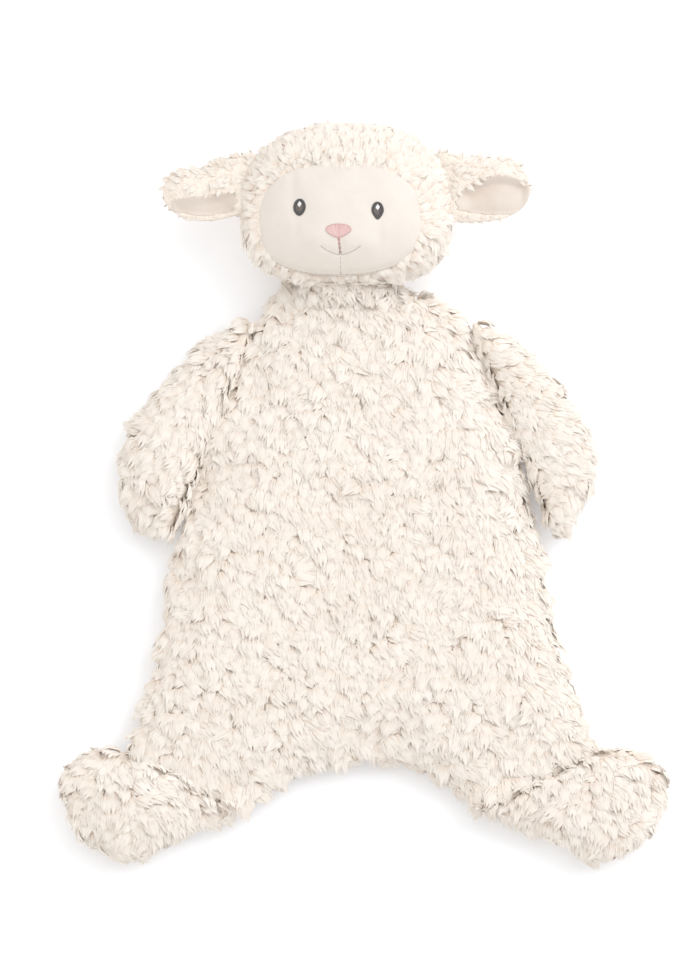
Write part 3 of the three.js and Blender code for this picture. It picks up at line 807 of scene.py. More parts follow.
@dataclass
class PileTree:
    """The node tree that plants locks on cloth and lays them along its flow."""

    locks: bpy.types.Collection
    material: Material
    count: int
    densest: float = 4.0e5
    margin: float = 0.03
    tree: bpy.types.NodeTree = field(init=False)
    sockets: dict[str, str] = field(init=False)

    INPUTS = {
        "Spacing": 2.7 * MM,
        "Swirl": 1.0,
        "Swirl Size": 13.0 * MM,
        "Stray": 0.55,
        "Rise": 0.22,
        "Lift": 0.0,
        "Height": 1.0,
        "Breadth": 1.0,
        "Smallest": 0.7,
        "Largest": 1.2,
    }

    def __post_init__(self) -> None:
        """Builds the tree."""
        tree, self.sockets = node_group("pile", {**dict.fromkeys(self.INPUTS, "Float"), "Seed": "Int"})
        self.tree = tree.tree
        self.wire(tree)

    def wire(self, t: Tree) -> None:
        """Adds and links the nodes.

        Args:
            t: The tree to fill.
        """
        given = t.node("NodeGroupInput").outputs
        size = {name: Number(t, given[name]) for name in self.INPUTS}
        seed = Number(t, given["Seed"])

        def chance(low: object, high: object, step: int) -> Number:
            """A random number for each lock."""
            return t.number("FunctionNodeRandomValue", {"data_type": "FLOAT"}, {2: low, 3: high, 8: seed + step}, 1)

        def drift(step: float) -> Number:
            """Noise over the cloth, whose patches have the swirl's size.

            Args:
                step: How far the noise is shifted, so that two of them differ.

            Returns:
                The noise, from -1 to 1.
            """
            place = t.node("GeometryNodeInputPosition").outputs[0]
            shifted = t.node("ShaderNodeVectorMath", {"operation": "ADD"}, {0: place, 1: (step, step, step)})
            inputs = {"Vector": shifted.outputs[0], "Scale": 1 / size["Swirl Size"], "Detail": 1.0}
            return (t.number("ShaderNodeTexNoise", {}, inputs) - 0.5) * 3.2

        planted = t.node("GeometryNodeDistributePointsOnFaces", {"distribute_method": "POISSON"}, {
            "Mesh": given["Geometry"], "Distance Min": size["Spacing"], "Density Max": self.densest,
            "Density Factor": t.stored("growth"), "Seed": given["Seed"],
        })
        normal = planted.outputs["Normal"]
        kept = t.store(planted.outputs["Points"], "facing", normal, "FLOAT_VECTOR", "POINT")
        angle = drift(0.0) * size["Swirl"] + chance(-1.0, 1.0, 1) * size["Stray"]
        lie = t.node("ShaderNodeVectorRotate", {"rotation_type": "AXIS_ANGLE"}, {
            "Vector": t.stored("flow", "FLOAT_VECTOR"), "Axis": normal, "Angle": angle,
        })
        facing = t.node("FunctionNodeAxesToRotation", {"primary_axis": "Z", "secondary_axis": "X"}, {
            "Primary Axis": normal, "Secondary Axis": lie.outputs[0],
        })
        lift = size["Lift"] + t.stored("lift")
        rise = drift(0.37) * size["Rise"] + chance(-0.15, 0.15, 2) - lift
        tilt = t.node("ShaderNodeCombineXYZ", {}, {"Y": rise})
        turn = t.node("FunctionNodeEulerToRotation", {}, {0: tilt.outputs[0]})
        turned = t.node("FunctionNodeRotateRotation", {"rotation_space": "LOCAL"}, {
            0: facing.outputs[0], 1: turn.outputs[0],
        })
        width = chance(size["Smallest"], size["Largest"], 3) * t.stored("growth")
        scale = t.node("ShaderNodeCombineXYZ", {}, {
            "X": width, "Y": width * size["Breadth"], "Z": width * size["Height"],
        })
        picks = t.node("GeometryNodeCollectionInfo", {}, {
            "Collection": self.locks, "Separate Children": True, "Reset Children": True,
        })
        which = t.node("FunctionNodeRandomValue", {"data_type": "INT"}, {4: 0, 5: self.count - 1, 8: seed + 4})
        standing = t.node("GeometryNodeInstanceOnPoints", {}, {
            "Points": kept, "Instance": picks.outputs[0], "Pick Instance": True,
            "Instance Index": which.outputs[2], "Rotation": turned.outputs[0], "Scale": scale.outputs[0],
        })
        tone = (drift(0.71) * 0.22 + chance(0.2, 0.8, 5)).held()
        toned = t.store(standing.outputs[0], "tone", tone, "FLOAT", "INSTANCE")
        grounded = t.store(toned, "ground", t.stored("facing", "FLOAT_VECTOR"), "FLOAT_VECTOR", "INSTANCE")
        real = t.node("GeometryNodeRealizeInstances", {}, {0: grounded})
        room = 1 - 2 * self.margin
        u = t.stored("tone") * room + t.stored("across") * 0.012 + self.margin
        v = t.stored("strand") * room + self.margin
        flat = t.node("ShaderNodeCombineXYZ", {}, {"X": u, "Y": v})
        mapped = t.store(real.outputs[0], "OFBake", flat.outputs[0], "FLOAT2", "CORNER")
        dressed = t.node("GeometryNodeSetMaterial", {}, {"Geometry": mapped, "Material": self.material})
        t.node("NodeGroupOutput", {}, {0: dressed.outputs[0]})


@dataclass
class Pile:
    """Plants pile on pieces of cloth."""

    tree: PileTree
    floor: float = 0.35 * MM
    soft_floor: float = 2.2 * MM
    softness: float = 0.82
    steepest: float = 0.3
    upward: float = 0.6
    planted: int = 0

    def grow(
        self,
        name: str,
        body: str,
        cloth: Object,
        keep: Field,
        flow: Field,
        growth: Field,
        seed: int,
        sizes: dict[str, float] | None = None,
        lift: Field | None = None,
    ) -> Object:
        """Plants one patch of pile.

        Args:
            name: The new piece's name.
            body: The body it rides on, or nothing, where the patch is left tied to no body.
            cloth: What it grows on.
            keep: Says which faces carry pile, from their middles and normals.
            flow: Says which way the pile lies at each vertex, from places and normals.
            growth: Says how large the locks are at each vertex, as a share.
            seed: The patch's seed.
            sizes: Inputs of the tree that differ from its own.
            lift: Says how far the locks are raised at each vertex, in radians.

        Returns:
            The patch, as a plain mesh.
        """
        polygons = cloth.data.polygons
        kept = keep(column(polygons, "center", 3), column(polygons, "normal", 3))
        points, normals, faces = picked(cloth, [tuple(p.vertices) for p, k in zip(polygons, kept) if k])
        ground = new_piece(name, points, faces)
        carry(ground, "flow", flow(points, normals))
        carry(ground, "growth", growth(points, normals))
        carry(ground, "lift", lift(points, normals) if lift else np.zeros(len(points)))
        modifier = ground.modifiers.new("pile", "NODES")
        modifier.node_group = self.tree.tree
        for key, value in {**PileTree.INPUTS, **(sizes or {})}.items():
            modifier[self.tree.sockets[key]] = value
        modifier[self.tree.sockets["Seed"]] = seed
        made_plain(ground)
        self.lay_on_floor(ground)
        self.soften(ground)
        self.planted += len(ground.data.polygons)
        if body:
            settle(ground, body)
        return ground

    def soften(self, obj: Object) -> None:
        """Turns the locks' shading towards the cloth's, as loose fibres spread the light between them.

        Args:
            obj: The patch of pile.
        """
        mesh = obj.data
        corners = column(mesh.loops, "vertex_index", kind=np.int32)
        sides = column(mesh.polygons, "loop_total", kind=np.int32)
        face = np.repeat(column(mesh.polygons, "normal", 3), sides, axis=0)
        own, ground = normals_of(obj)[corners], column(mesh.attributes["ground"].data, "vector", 3)[corners]
        raised = soft_step(ground[:, 2], -0.4, 0.2)
        ground = unit(ground + np.outer(raised, (0, 0, self.upward)))
        share = self.softness * soft_step((ground * face).sum(axis=1), -0.3, 0.2)[:, None]
        soft = unit(own * (1 - share) + ground * share)
        short = np.maximum(self.steepest - (soft * face).sum(axis=1, keepdims=True), 0)
        mesh.normals_split_custom_set(unit(soft + face * short * 1.4).tolist())

    def lay_on_floor(self, obj: Object) -> None:
        """Presses what would reach the floor flat above it.

        Args:
            obj: The patch of pile.
        """
        points = places_of(obj)
        z = points[:, 2]
        room = self.soft_floor - self.floor
        pressed = self.floor + room * np.exp(np.minimum(z - self.soft_floor, 0) / room)
        points[:, 2] = np.where(z < self.soft_floor, pressed, z)
        put_places(obj, points)


# Needlework


@dataclass(frozen=True)
class Stitch:
    """One stitch on a surface, from place to place, whose tone picks its shade."""

    start: Array
    end: Array
    tone: float


@dataclass
class StitchTree:
    """The node tree that lays a short length of thread along every stitch."""

    tree: bpy.types.NodeTree = field(init=False)
    sockets: dict[str, str] = field(init=False)

    def __post_init__(self) -> None:
        """Builds the tree."""
        kinds = {"Thread": "Object", "Thickness": "Float", "Flatness": "Float", "Material": "Material"}
        tree, self.sockets = node_group("stitches", kinds)
        self.tree = tree.tree
        self.wire(tree)

    def wire(self, t: Tree) -> None:
        """Adds and links the nodes.

        Args:
            t: The tree to fill.
        """
        given = t.node("NodeGroupInput").outputs
        along = t.stored("along", "FLOAT_VECTOR")
        facing = t.node("FunctionNodeAxesToRotation", {"primary_axis": "X", "secondary_axis": "Z"}, {
            "Primary Axis": along, "Secondary Axis": t.stored("facing", "FLOAT_VECTOR"),
        })
        length = t.number("ShaderNodeVectorMath", {"operation": "LENGTH"}, {0: along}, "Value")
        thick = Number(t, given["Thickness"])
        tall = thick * given["Flatness"]
        scale = t.node("ShaderNodeCombineXYZ", {}, {"X": length, "Y": thick, "Z": tall})
        spots = t.node("GeometryNodeMeshToPoints", {}, {"Mesh": given["Geometry"]})
        thread = t.node("GeometryNodeObjectInfo", {}, {"Object": given["Thread"]})
        laid = t.node("GeometryNodeInstanceOnPoints", {}, {
            "Points": spots.outputs[0], "Instance": thread.outputs["Geometry"],
            "Rotation": facing.outputs[0], "Scale": scale.outputs[0],
        })
        real = t.node("GeometryNodeRealizeInstances", {}, {0: laid.outputs[0]})
        dressed = t.node("GeometryNodeSetMaterial", {}, {"Geometry": real.outputs[0], "Material": given["Material"]})
        t.node("NodeGroupOutput", {}, {0: dressed.outputs[0]})


@dataclass
class Needlework:
    """Sews stitches onto a surface."""

    materials: dict[Thread, Material]
    tree: StitchTree = field(default_factory=StitchTree)
    sides: int = 6
    stations: tuple[Triple, ...] = (
        (-0.5, 0.35, -1.1), (-0.44, 0.85, -0.35), (-0.22, 1.0, 0.0),
        (0.22, 1.0, 0.0), (0.44, 0.85, -0.35), (0.5, 0.35, -1.1),
    )
    thread: Object = field(init=False)

    def __post_init__(self) -> None:
        """Makes the length of thread that every stitch repeats: along X, arched, with tucked-in ends."""
        points = []
        for x, radius, z in self.stations:
            for k in range(self.sides):
                turn = 2 * math.pi * k / self.sides
                points.append((x, radius * math.cos(turn), z + radius * math.sin(turn)))
        end = tuple(range(len(points) - self.sides, len(points)))
        faces = [*ring_faces(len(self.stations), self.sides), tuple(range(self.sides))[::-1], end]
        self.thread = new_piece("length_of_thread", np.array(points), faces)
        bpy.context.scene.collection.objects.unlink(self.thread)

    def sew(
        self,
        name: str,
        body: str,
        stitches: Sequence[Stitch],
        surface: Field,
        thread: Thread,
        thickness: float,
        nodes: Sequence[str] = (),
        flatness: float = 0.7,
    ) -> None:
        """Sews one piece of needlework.

        Args:
            name: The piece's name.
            body: The body it rides on.
            stitches: Its stitches.
            surface: Gives the point of the surface at places across and up.
            thread: The thread.
            thickness: Half the thread's thickness in metres.
            nodes: The solids it stands for.
            flatness: How high the thread stands, as a share of its width.
        """
        start, end = (np.array([getattr(s, key) for s in stitches], float) for key in ("start", "end"))
        middle = (start + end) / 2
        ends = [surface(p[:, 0], p[:, 1]) for p in (start, end)]
        step = 0.2 * MM
        across = surface(middle[:, 0] + step, middle[:, 1]) - surface(middle[:, 0] - step, middle[:, 1])
        up = surface(middle[:, 0], middle[:, 1] + step) - surface(middle[:, 0], middle[:, 1] - step)
        facing = unit(np.cross(across, up))
        centre = (ends[0] + ends[1]) / 2
        ground = surface(middle[:, 0], middle[:, 1])
        lift = np.maximum(((ground - centre) * facing).sum(axis=1), 0) + thickness * flatness * 0.5
        obj = new_piece(name, centre + facing * lift[:, None], [])
        carry(obj, "along", ends[1] - ends[0])
        carry(obj, "facing", facing)
        carry(obj, "tone", np.array([s.tone for s in stitches], float))
        modifier = obj.modifiers.new("stitches", "NODES")
        modifier.node_group = self.tree.tree
        values = {"Thread": self.thread, "Thickness": thickness, "Flatness": flatness}
        for key, value in {**values, "Material": self.materials[thread]}.items():
            modifier[self.tree.sockets[key]] = value
        settle(made_plain(obj), body, nodes)


def backstitch(line: Array, length: float, gap: float, tones: Pair, seed: int) -> list[Stitch]:
    """Lays stitches one after the other along a line.

    Args:
        line: The line's points.
        length: A stitch's length.
        gap: The bare stretch between two stitches.
        tones: The tone at the line's start and end.
        seed: The seed of the small differences in tone.

    Returns:
        The stitches.
    """
    rng = np.random.default_rng(seed)
    total = np.linalg.norm(np.diff(line, axis=0), axis=1).sum()
    count = max(1, round(total / (length + gap)))
    steps = 8
    fine = smooth_line(line, count * steps)
    reach = round(steps * length / (length + gap))
    made = []
    for i in range(count):
        a, b = fine[i * steps], fine[min(i * steps + reach, len(fine) - 1)]
        tone = tones[0] + (tones[1] - tones[0]) * i / max(count - 1, 1) + rng.uniform(-0.15, 0.15)
        made.append(Stitch(a, b, np.clip(tone, 0, 1)))
    return made


# Body


@dataclass
class Wardrobe:
    """Every material of the lamb and the tools that use them."""

    backing: Material
    face: Material
    lining: Material
    pile: Pile
    needle: Needlework

    @classmethod
    def fitted(cls, kinds: int = 7) -> Wardrobe:
        """Builds the materials, the kinds of lock and the node trees.

        Args:
            kinds: How many kinds of lock there are.

        Returns:
            The wardrobe.
        """
        locks = bpy.data.collections.new("locks")
        for seed in range(kinds):
            locks.objects.link(Lock().build(f"lock_{seed}", 40 + seed))
        pile = Pile(PileTree(locks, PileFinish().material(), kinds))
        needle = Needlework({thread: ThreadFinish(thread).material() for thread in Thread})
        face = VelourFinish("cream_velour", "d9cec1", "e2d8cc").material()
        lining = VelourFinish("fawn_velour", "cdbcac", "d9cabc", nap=0.0006).material()
        return cls(BackingFinish().material(), face, lining, pile, needle)


def settle(piece: Object, body: str, nodes: Sequence[str] = ()) -> None:
    """Ties a finished piece to its body and reports it.

    Args:
        piece: The piece.
        body: The body it rides on.
        nodes: The solids it stands for.
    """
    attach(piece, body)
    if nodes:
        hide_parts(*nodes)
    LOG.info("%s: %d faces on %s", piece.name, len(piece.data.polygons), body)


def counterclockwise(outline: Array) -> Array:
    """Puts an outline in the order that turns left, as seen from above."""
    x, y = outline.T
    return outline if (x * np.roll(y, -1) - y * np.roll(x, -1)).sum() > 0 else outline[::-1]


def unit(vectors: Array) -> Array:
    """The vectors, each of length one."""
    return vectors / np.maximum(np.linalg.norm(vectors, axis=-1, keepdims=True), 1e-9)


@dataclass
class Torso:
    """The flat, pillow-like body, which widens from the neck to an arched hem."""

    wardrobe: Wardrobe
    length: float = 246 * MM
    half_width: float = 109 * MM
    neck_edge: float = 95.956 * MM
    neck_x: float = -8 * MM
    seam: float = 11 * MM
    neck_lift: float = 5 * MM
    neck_lift_half_width: float = 36 * MM
    neck_lift_length: float = 32 * MM
    rise: float = 9.4 * MM
    drop: float = 9.0 * MM
    swell: float = 5.0
    rim: float = 1.5 * MM
    flank_share: float = 0.6
    left_swell: float = 1.6 * MM
    waist_inset: float = 3.6 * MM
    waist_from: Pair = (0.3, 0.45)
    waist_to: Pair = (0.68, 0.85)
    seam_fill: float = 5.0 * MM
    seam_reach: float = 9.0 * MM
    seam_lift: float = 0.12
    neck_overlap: float = 2.5 * MM
    left_neck_shift: tuple[float, ...] = (-8 * MM, -6 * MM, -2 * MM, 0.0)
    right_neck_shift: tuple[float, ...] = (-8 * MM, -8 * MM, -5 * MM, -1 * MM)
    bands: tuple[float, ...] = (-0.16, -0.116, -0.084, -0.05, -0.014, 0.034, 0.11)
    back_bands: tuple[float, ...] = (-0.16, -0.075, -0.01, 0.11)
    spacing: float = 2.6 * MM
    back_spacing: float = 3.2 * MM
    spread: Triple = (0.9, 1.6, 0.0)
    feet_locks: float = 0.35
    collar_depth: float = 11 * MM
    collar_half_width: float = 30 * MM
    cushion: Cushion | None = None

    def point(self, share: Sequence[float], side: Side) -> Array:
        """A point of the outline, from its shares of the half width and the length."""
        return np.array([side.value * share[0] * self.half_width, self.neck_edge - share[1] * self.length])

    def half_outline(self, side: Side) -> tuple[Array, Array]:
        """Draws one half of the outline, from the middle of the neck to the middle of the hem.

        Args:
            side: Which half.

        Returns:
            The points, and how far each is pulled in for the pile.
        """
        neck, flank, hem = (np.array([self.point(p, side) for p in rows]) for rows in (NECK_CORNER, FLANK, HEM))
        shift = self.left_neck_shift if side is Side.LEFT else self.right_neck_shift
        start = self.point((0, 0), side) + np.array([shift[0], 0])
        neck[:, 0] += shift[1:]
        lines = (
            straight(start, neck[0], 4), neck, straight(neck[-1], flank[0], 10),
            smooth_line(flank, 24), straight(flank[-1], hem[0], 8), smooth_line(hem, 10),
        )
        points = np.vstack([*(line[:-1] for line in lines), lines[-1][-1:]])
        insets = np.zeros(len(points))
        insets[: len(lines[0]) - 1] = -self.neck_overlap
        wide = np.abs(points[:, 0]) > self.flank_share * self.half_width
        if side is Side.LEFT:
            return points, insets - self.left_swell * wide
        down = (self.neck_edge - points[:, 1]) / self.length
        waist = soft_step(down, *self.waist_from) * soft_step(-down, -self.waist_to[1], -self.waist_to[0])
        return points, insets + self.waist_inset * waist * wide

    def seam_height(self, places: Array) -> Array:
        """Height of the side seam, which is drawn up in the middle of the neck.

        Args:
            places: Places on the floor.

        Returns:
            The height at each.
        """
        across = np.minimum(np.abs(places[:, 0] - self.neck_x) / self.neck_lift_half_width, 1)
        along = soft_step(places[:, 1] - self.neck_edge, -self.neck_lift_length, 0)
        return self.seam + self.neck_lift * (1 - across**2) ** 2 * along

    def by_seam(self, points: Array) -> Array:
        """How close each point is to the seam of an arm or foot.

        Args:
            points: The points.

        Returns:
            1 at a seam, falling to 0 at the seam's reach.
        """
        nearest = np.full(len(points), self.seam_reach)
        for side in Side:
            for first, last in ((NECK_CORNER[-1], FLANK[0]), (FLANK[-1], HEM[0])):
                start, end = self.point(first, side), self.point(last, side)
                run, away = end - start, points[:, :2] - start
                share = np.clip(away @ run / (run @ run), 0, 1)
                nearest = np.minimum(nearest, np.linalg.norm(away - np.outer(share, run), axis=1))
        return 1 - soft_step(nearest, 0, self.seam_reach)

    def cut(self) -> None:
        """Cuts the body's cloth."""
        left, left_in = self.half_outline(Side.LEFT)
        right, right_in = self.half_outline(Side.RIGHT)
        outline = np.vstack([left, right[-2:0:-1]])
        insets = np.concatenate([left_in, right_in[-2:0:-1]])
        middle = np.array([0.0, self.neck_edge - 0.55 * self.length])
        outline = pulled_in(outline, middle, (insets + np.roll(insets, 1) + np.roll(insets, -1)) / 3)

        def top(places: Array, share: Array) -> Array:
            """The front of the body."""
            filled = self.seam_fill * self.by_seam(places)
            return self.seam_height(places) + self.rim + filled + (self.rise - filled) * (1 - share**self.swell)

        def bottom(places: Array, share: Array) -> Array:
            """The back of the body."""
            return np.maximum(self.seam_height(places) - self.rim - self.drop * (1 - share**self.swell), CLOTH_FLOOR)

        nodes = ("torso_front_plush", "torso_back_plush", "torso_wadding")
        form = Swell(outline, middle, top, bottom)
        self.cushion = Cushion("torso_cushion", "torso", nodes, form, 0.45, 4.0 * MM)
        self.cushion.cut()

    def flow(self, points: Array, normals: Array) -> Array:
        """Lays the pile down towards the hem, and out over the edges."""
        return unit(np.array([0, -1.0, 0]) + normals * np.array(self.spread))

    def growth(self, points: Array, normals: Array) -> Array:
        """Full locks in front, shorter ones on the back and longer ones over the feet's seams."""
        feet = self.by_seam(points) * soft_step(-points[:, 1], 0, 40 * MM)
        return shorter_behind(normals) * (1 + self.feet_locks * feet)

    def lift(self, points: Array, normals: Array) -> Array:
        """Raises the locks along the limbs' seams, so that they hide them."""
        return self.seam_lift * self.by_seam(points) * facing_up(normals)

    def dress(self) -> None:
        """Covers the cloth with pile."""
        cloth = self.cushion.piece
        self.cushion.smooth(self.wardrobe.backing)
        self.cushion.place()
        sides = (("front", self.bands, True, self.spacing), ("back", self.back_bands, False, self.back_spacing))
        for word, bands, facing, spacing in sides:
            for i, (low, high) in enumerate(zip(bands, bands[1:])):

                def keep(middles: Array, normals: Array) -> Array:
                    """The faces of this band."""
                    inside = (middles[:, 1] >= low) & (middles[:, 1] < high)
                    return inside & ((normals[:, 2] > -0.25) == facing)

                name, seed = f"torso_{word}_pile_{i + 1}", 11 + i + 10 * facing
                self.wardrobe.pile.grow(
                    name, "torso", cloth, keep, self.flow, self.growth, seed, {"Spacing": spacing}, self.lift
                )
        self.turn_up_collar()

    def turn_up_collar(self) -> None:
        """Plants the row of pile that stands up from the neck's edge to the chin."""

        def keep(middles: Array, normals: Array) -> Array:
            """The faces in front, along the neck's edge."""
            by_edge = (middles[:, 1] > self.neck_edge - self.collar_depth) & (normals[:, 2] > -0.3)
            return by_edge & (np.abs(middles[:, 0] - self.neck_x) < self.collar_half_width)

        def flow(points: Array, normals: Array) -> Array:
            """Up to the chin, and out over the edge."""
            return unit(np.array([0, 1.0, 0]) + normals * np.array([0.8, 0.5, 0]))

        sizes = {"Spacing": 2.2 * MM, "Swirl": 1.2, "Stray": 1.1, "Lift": 0.55, "Height": 1.2}
        cloth = self.cushion.piece
        self.wardrobe.pile.grow("torso_collar_pile", "torso", cloth, keep, flow, self.growth, 29, sizes)


@dataclass
class Limb:
    """An arm or a foot: a flap of padded plush that is sewn to the body along one edge."""

    wardrobe: Wardrobe
    torso: Torso
    kind: LimbKind
    side: Side
    rows: tuple
    length: float
    width: float
    seam_length: float
    start: Pair
    end: Pair
    middle: Pair
    rise: float
    seed: int
    drop: float = 9.0 * MM
    swell: float = 2.5
    rim: float = 1.4 * MM
    hinge_offset: float = 0.8 * MM
    free_inset: float = 2.4 * MM
    inset_from: Pair = (2 * MM, 9 * MM)
    upper_ease: float = 0.0
    spacing: float = 2.6 * MM
    spread: float = 0.7
    cushion: Cushion | None = None

    @classmethod
    def arm(cls, torso: Torso, side: Side) -> Limb:
        """Sizes an arm. The right one is slimmer, as in the photograph."""
        slimmer = {"free_inset": 12.0 * MM, "upper_ease": 0.5} if side is Side.RIGHT else {}
        return cls(
            torso.wardrobe, torso, LimbKind.ARM, side, ARM, length=117 * MM, width=36 * MM, seam_length=68 * MM,
            start=NECK_CORNER[-1], end=FLANK[0], middle=(0.6, 0.48), rise=8.7 * MM, seed=81 + side.value, **slimmer,
        )

    @classmethod
    def foot(cls, torso: Torso, side: Side) -> Limb:
        """Sizes a foot, which is plumper than an arm."""
        return cls(
            torso.wardrobe, torso, LimbKind.FOOT, side, FOOT, length=57 * MM, width=48 * MM, seam_length=57 * MM,
            start=FLANK[-1], end=HEM[0], middle=(0.25, 0.5), rise=8.8 * MM, seed=91 + side.value,
            free_inset=1.4 * MM, spread=1.4,
        )

    @property
    def name(self) -> str:
        """The limb's body, such as left_arm."""
        return f"{self.side.word}_{self.kind.value}"

    def axes(self) -> tuple[Array, Array, Array]:
        """Finds the directions that the limb is drawn in.

        Returns:
            The seam's start, its direction and the direction out from it.
        """
        start, end = self.torso.point(self.start, self.side), self.torso.point(self.end, self.side)
        along = unit(end - start)
        outward = np.array([-along[1], along[0]]) * self.side.value
        return start + outward * self.hinge_offset, along, outward

    def placed(self, points: Array) -> Array:
        """Turns places along and out from the seam into places on the floor."""
        start, along, outward = self.axes()
        return start + points[:, :1] * along + points[:, 1:] * outward

    def cut(self) -> None:
        """Cuts the limb's cloth."""
        size = np.array([self.length, self.width])
        offset = np.array([0, self.hinge_offset])
        free = smooth_line(np.vstack([np.array(self.rows) * size, [self.seam_length, 0]]) + offset, 44)
        seam = straight(np.array([self.seam_length, 0]) + offset, offset, 10)[1:-1]
        middle = np.array(self.middle) * size
        eased = 1 - self.upper_ease * (1 - soft_step(free[:, 0] / self.length, 0.6, 0.95))
        pulled = pulled_in(free, middle, self.free_inset * eased)
        near = soft_step(free[:, 1], *self.inset_from)[:, None]
        outline = counterclockwise(self.placed(np.vstack([free + (pulled - free) * near, seam])))
        height = self.torso.seam

        def top(places: Array, share: Array) -> Array:
            """The limb's front."""
            filled = self.torso.seam_fill * self.by_seam(places)
            return height + self.rim + filled + (self.rise - filled) * (1 - share**self.swell)

        def bottom(places: Array, share: Array) -> Array:
            """The limb's back."""
            return np.maximum(height - self.rim - self.drop * (1 - share**self.swell), CLOTH_FLOOR)

        nodes = tuple(f"{self.name}_{part}" for part in ("front_plush", "back_plush", "stuffing"))
        form = Swell(outline, self.placed(middle[None])[0], top, bottom)
        self.cushion = Cushion(f"{self.name}_cushion", self.name, nodes, form, 0.6, 3.5 * MM)
        self.cushion.cut()

    def by_seam(self, points: Array) -> Array:
        """How close each point is to the limb's seam, from 1 at the seam to 0."""
        start, _, outward = self.axes()
        return 1 - soft_step((points[:, :2] - start) @ outward, 0, self.torso.seam_reach)

    def flow(self, points: Array, normals: Array) -> Array:
        """Lays the pile from the seam towards the limb's end and down.

        Args:
            points: Places on the cloth.
            normals: Its normals there.

        Returns:
            The direction at each place.
        """
        _, along, outward = self.axes()
        lie = np.array([*(outward * 0.5 + along * 0.3), 0]) + np.array([0, -0.5, 0])
        free = 1 - self.by_seam(points)
        return unit(lie + np.outer(1 - free, (*outward * 0.6, 0)) + normals * np.outer(free, (self.spread, 1.4, 0)))

    def lift(self, points: Array, normals: Array) -> Array:
        """Raises the locks along the seam, so that they hide it."""
        return self.torso.seam_lift * self.by_seam(points) * facing_up(normals)

    def growth(self, points: Array, normals: Array) -> Array:
        """Full locks in front, shorter ones on the back and at the arm's upper corner.

        Args:
            points: Places on the cloth.
            normals: Its normals there.

        Returns:
            The size of the locks at each place, as a share.
        """
        start, along, _ = self.axes()
        corner = soft_step(-(points[:, :2] - start) @ along, -8 * MM, 0) * (self.kind is LimbKind.ARM)
        return shorter_behind(normals) * (1 - 0.35 * corner)

    def dress(self) -> None:
        """Covers the cloth with pile and sews the seam."""
        self.cushion.smooth(self.wardrobe.backing)
        self.cushion.place()

        def keep(middles: Array, normals: Array) -> Array:
            """All faces."""
            return np.ones(len(middles), bool)

        self.wardrobe.pile.grow(
            f"{self.name}_pile", self.name, self.cushion.piece, keep, self.flow, self.growth, self.seed,
            {"Spacing": self.spacing}, self.lift,
        )
        ends = self.placed(np.array([[1 * MM, 0], [self.seam_length - 1 * MM, 0]]))

        def surface(x: Array, y: Array) -> Array:
            """The seam's plane."""
            return np.column_stack([x, y, np.full(len(x), self.torso.seam)])

        stitches = backstitch(straight(ends[0], ends[1], 12), 3.0 * MM, 1.0 * MM, (0.4, 0.6), self.seed)
        nodes = [f"{self.name}_seam_thread"]
        needle = self.wardrobe.needle
        needle.sew(f"{self.name}_seam", self.name, stitches, surface, Thread.SEAM, 0.4 * MM, nodes, 1.0)


# Head


@dataclass
class Ball:
    """The head's form: an oval cushion, rounder above and squarer below."""

    centre: Triple = (-8 * MM, 134.456 * MM, 30.5 * MM)
    half_width: float = 52 * MM
    half_height: float = 40.5 * MM
    half_depth: float = 31 * MM
    crown: float = 2.25
    jowl: float = 3.0
    roundness: float = 2.2

    def share(self, x: Array, y: Array, half_width: float, half_height: float) -> Array:
        """How far out a place is, as a share of the way to the outline."""
        power = np.where(y >= 0, self.crown, self.jowl)
        return (np.abs(x / half_width) ** power + np.abs(y / half_height) ** power) ** (1 / power)

    def height(self, share: Array) -> Array:
        """The height of a ball of depth one."""
        return np.sqrt(np.maximum(0, 1 - np.minimum(share, 1) ** self.roundness))

    def oval(self, half_width: float, half_height: float, upper: float, lower: float, steps: int) -> Array:
        """Draws a rounded oval round the origin.

        Args:
            half_width: Half its width.
            half_height: Half its height.
            upper: How square its upper half is.
            lower: How square its lower half is.
            steps: How many points it has.

        Returns:
            The points, counterclockwise from the lowest.
        """
        angle = 2 * np.pi * np.arange(steps) / steps
        across, up = np.sin(angle), -np.cos(angle)
        power = 2 / np.where(up >= 0, upper, lower)
        return np.column_stack([
            half_width * np.sign(across) * np.abs(across) ** power,
            half_height * np.sign(up) * np.abs(up) ** power,
        ])


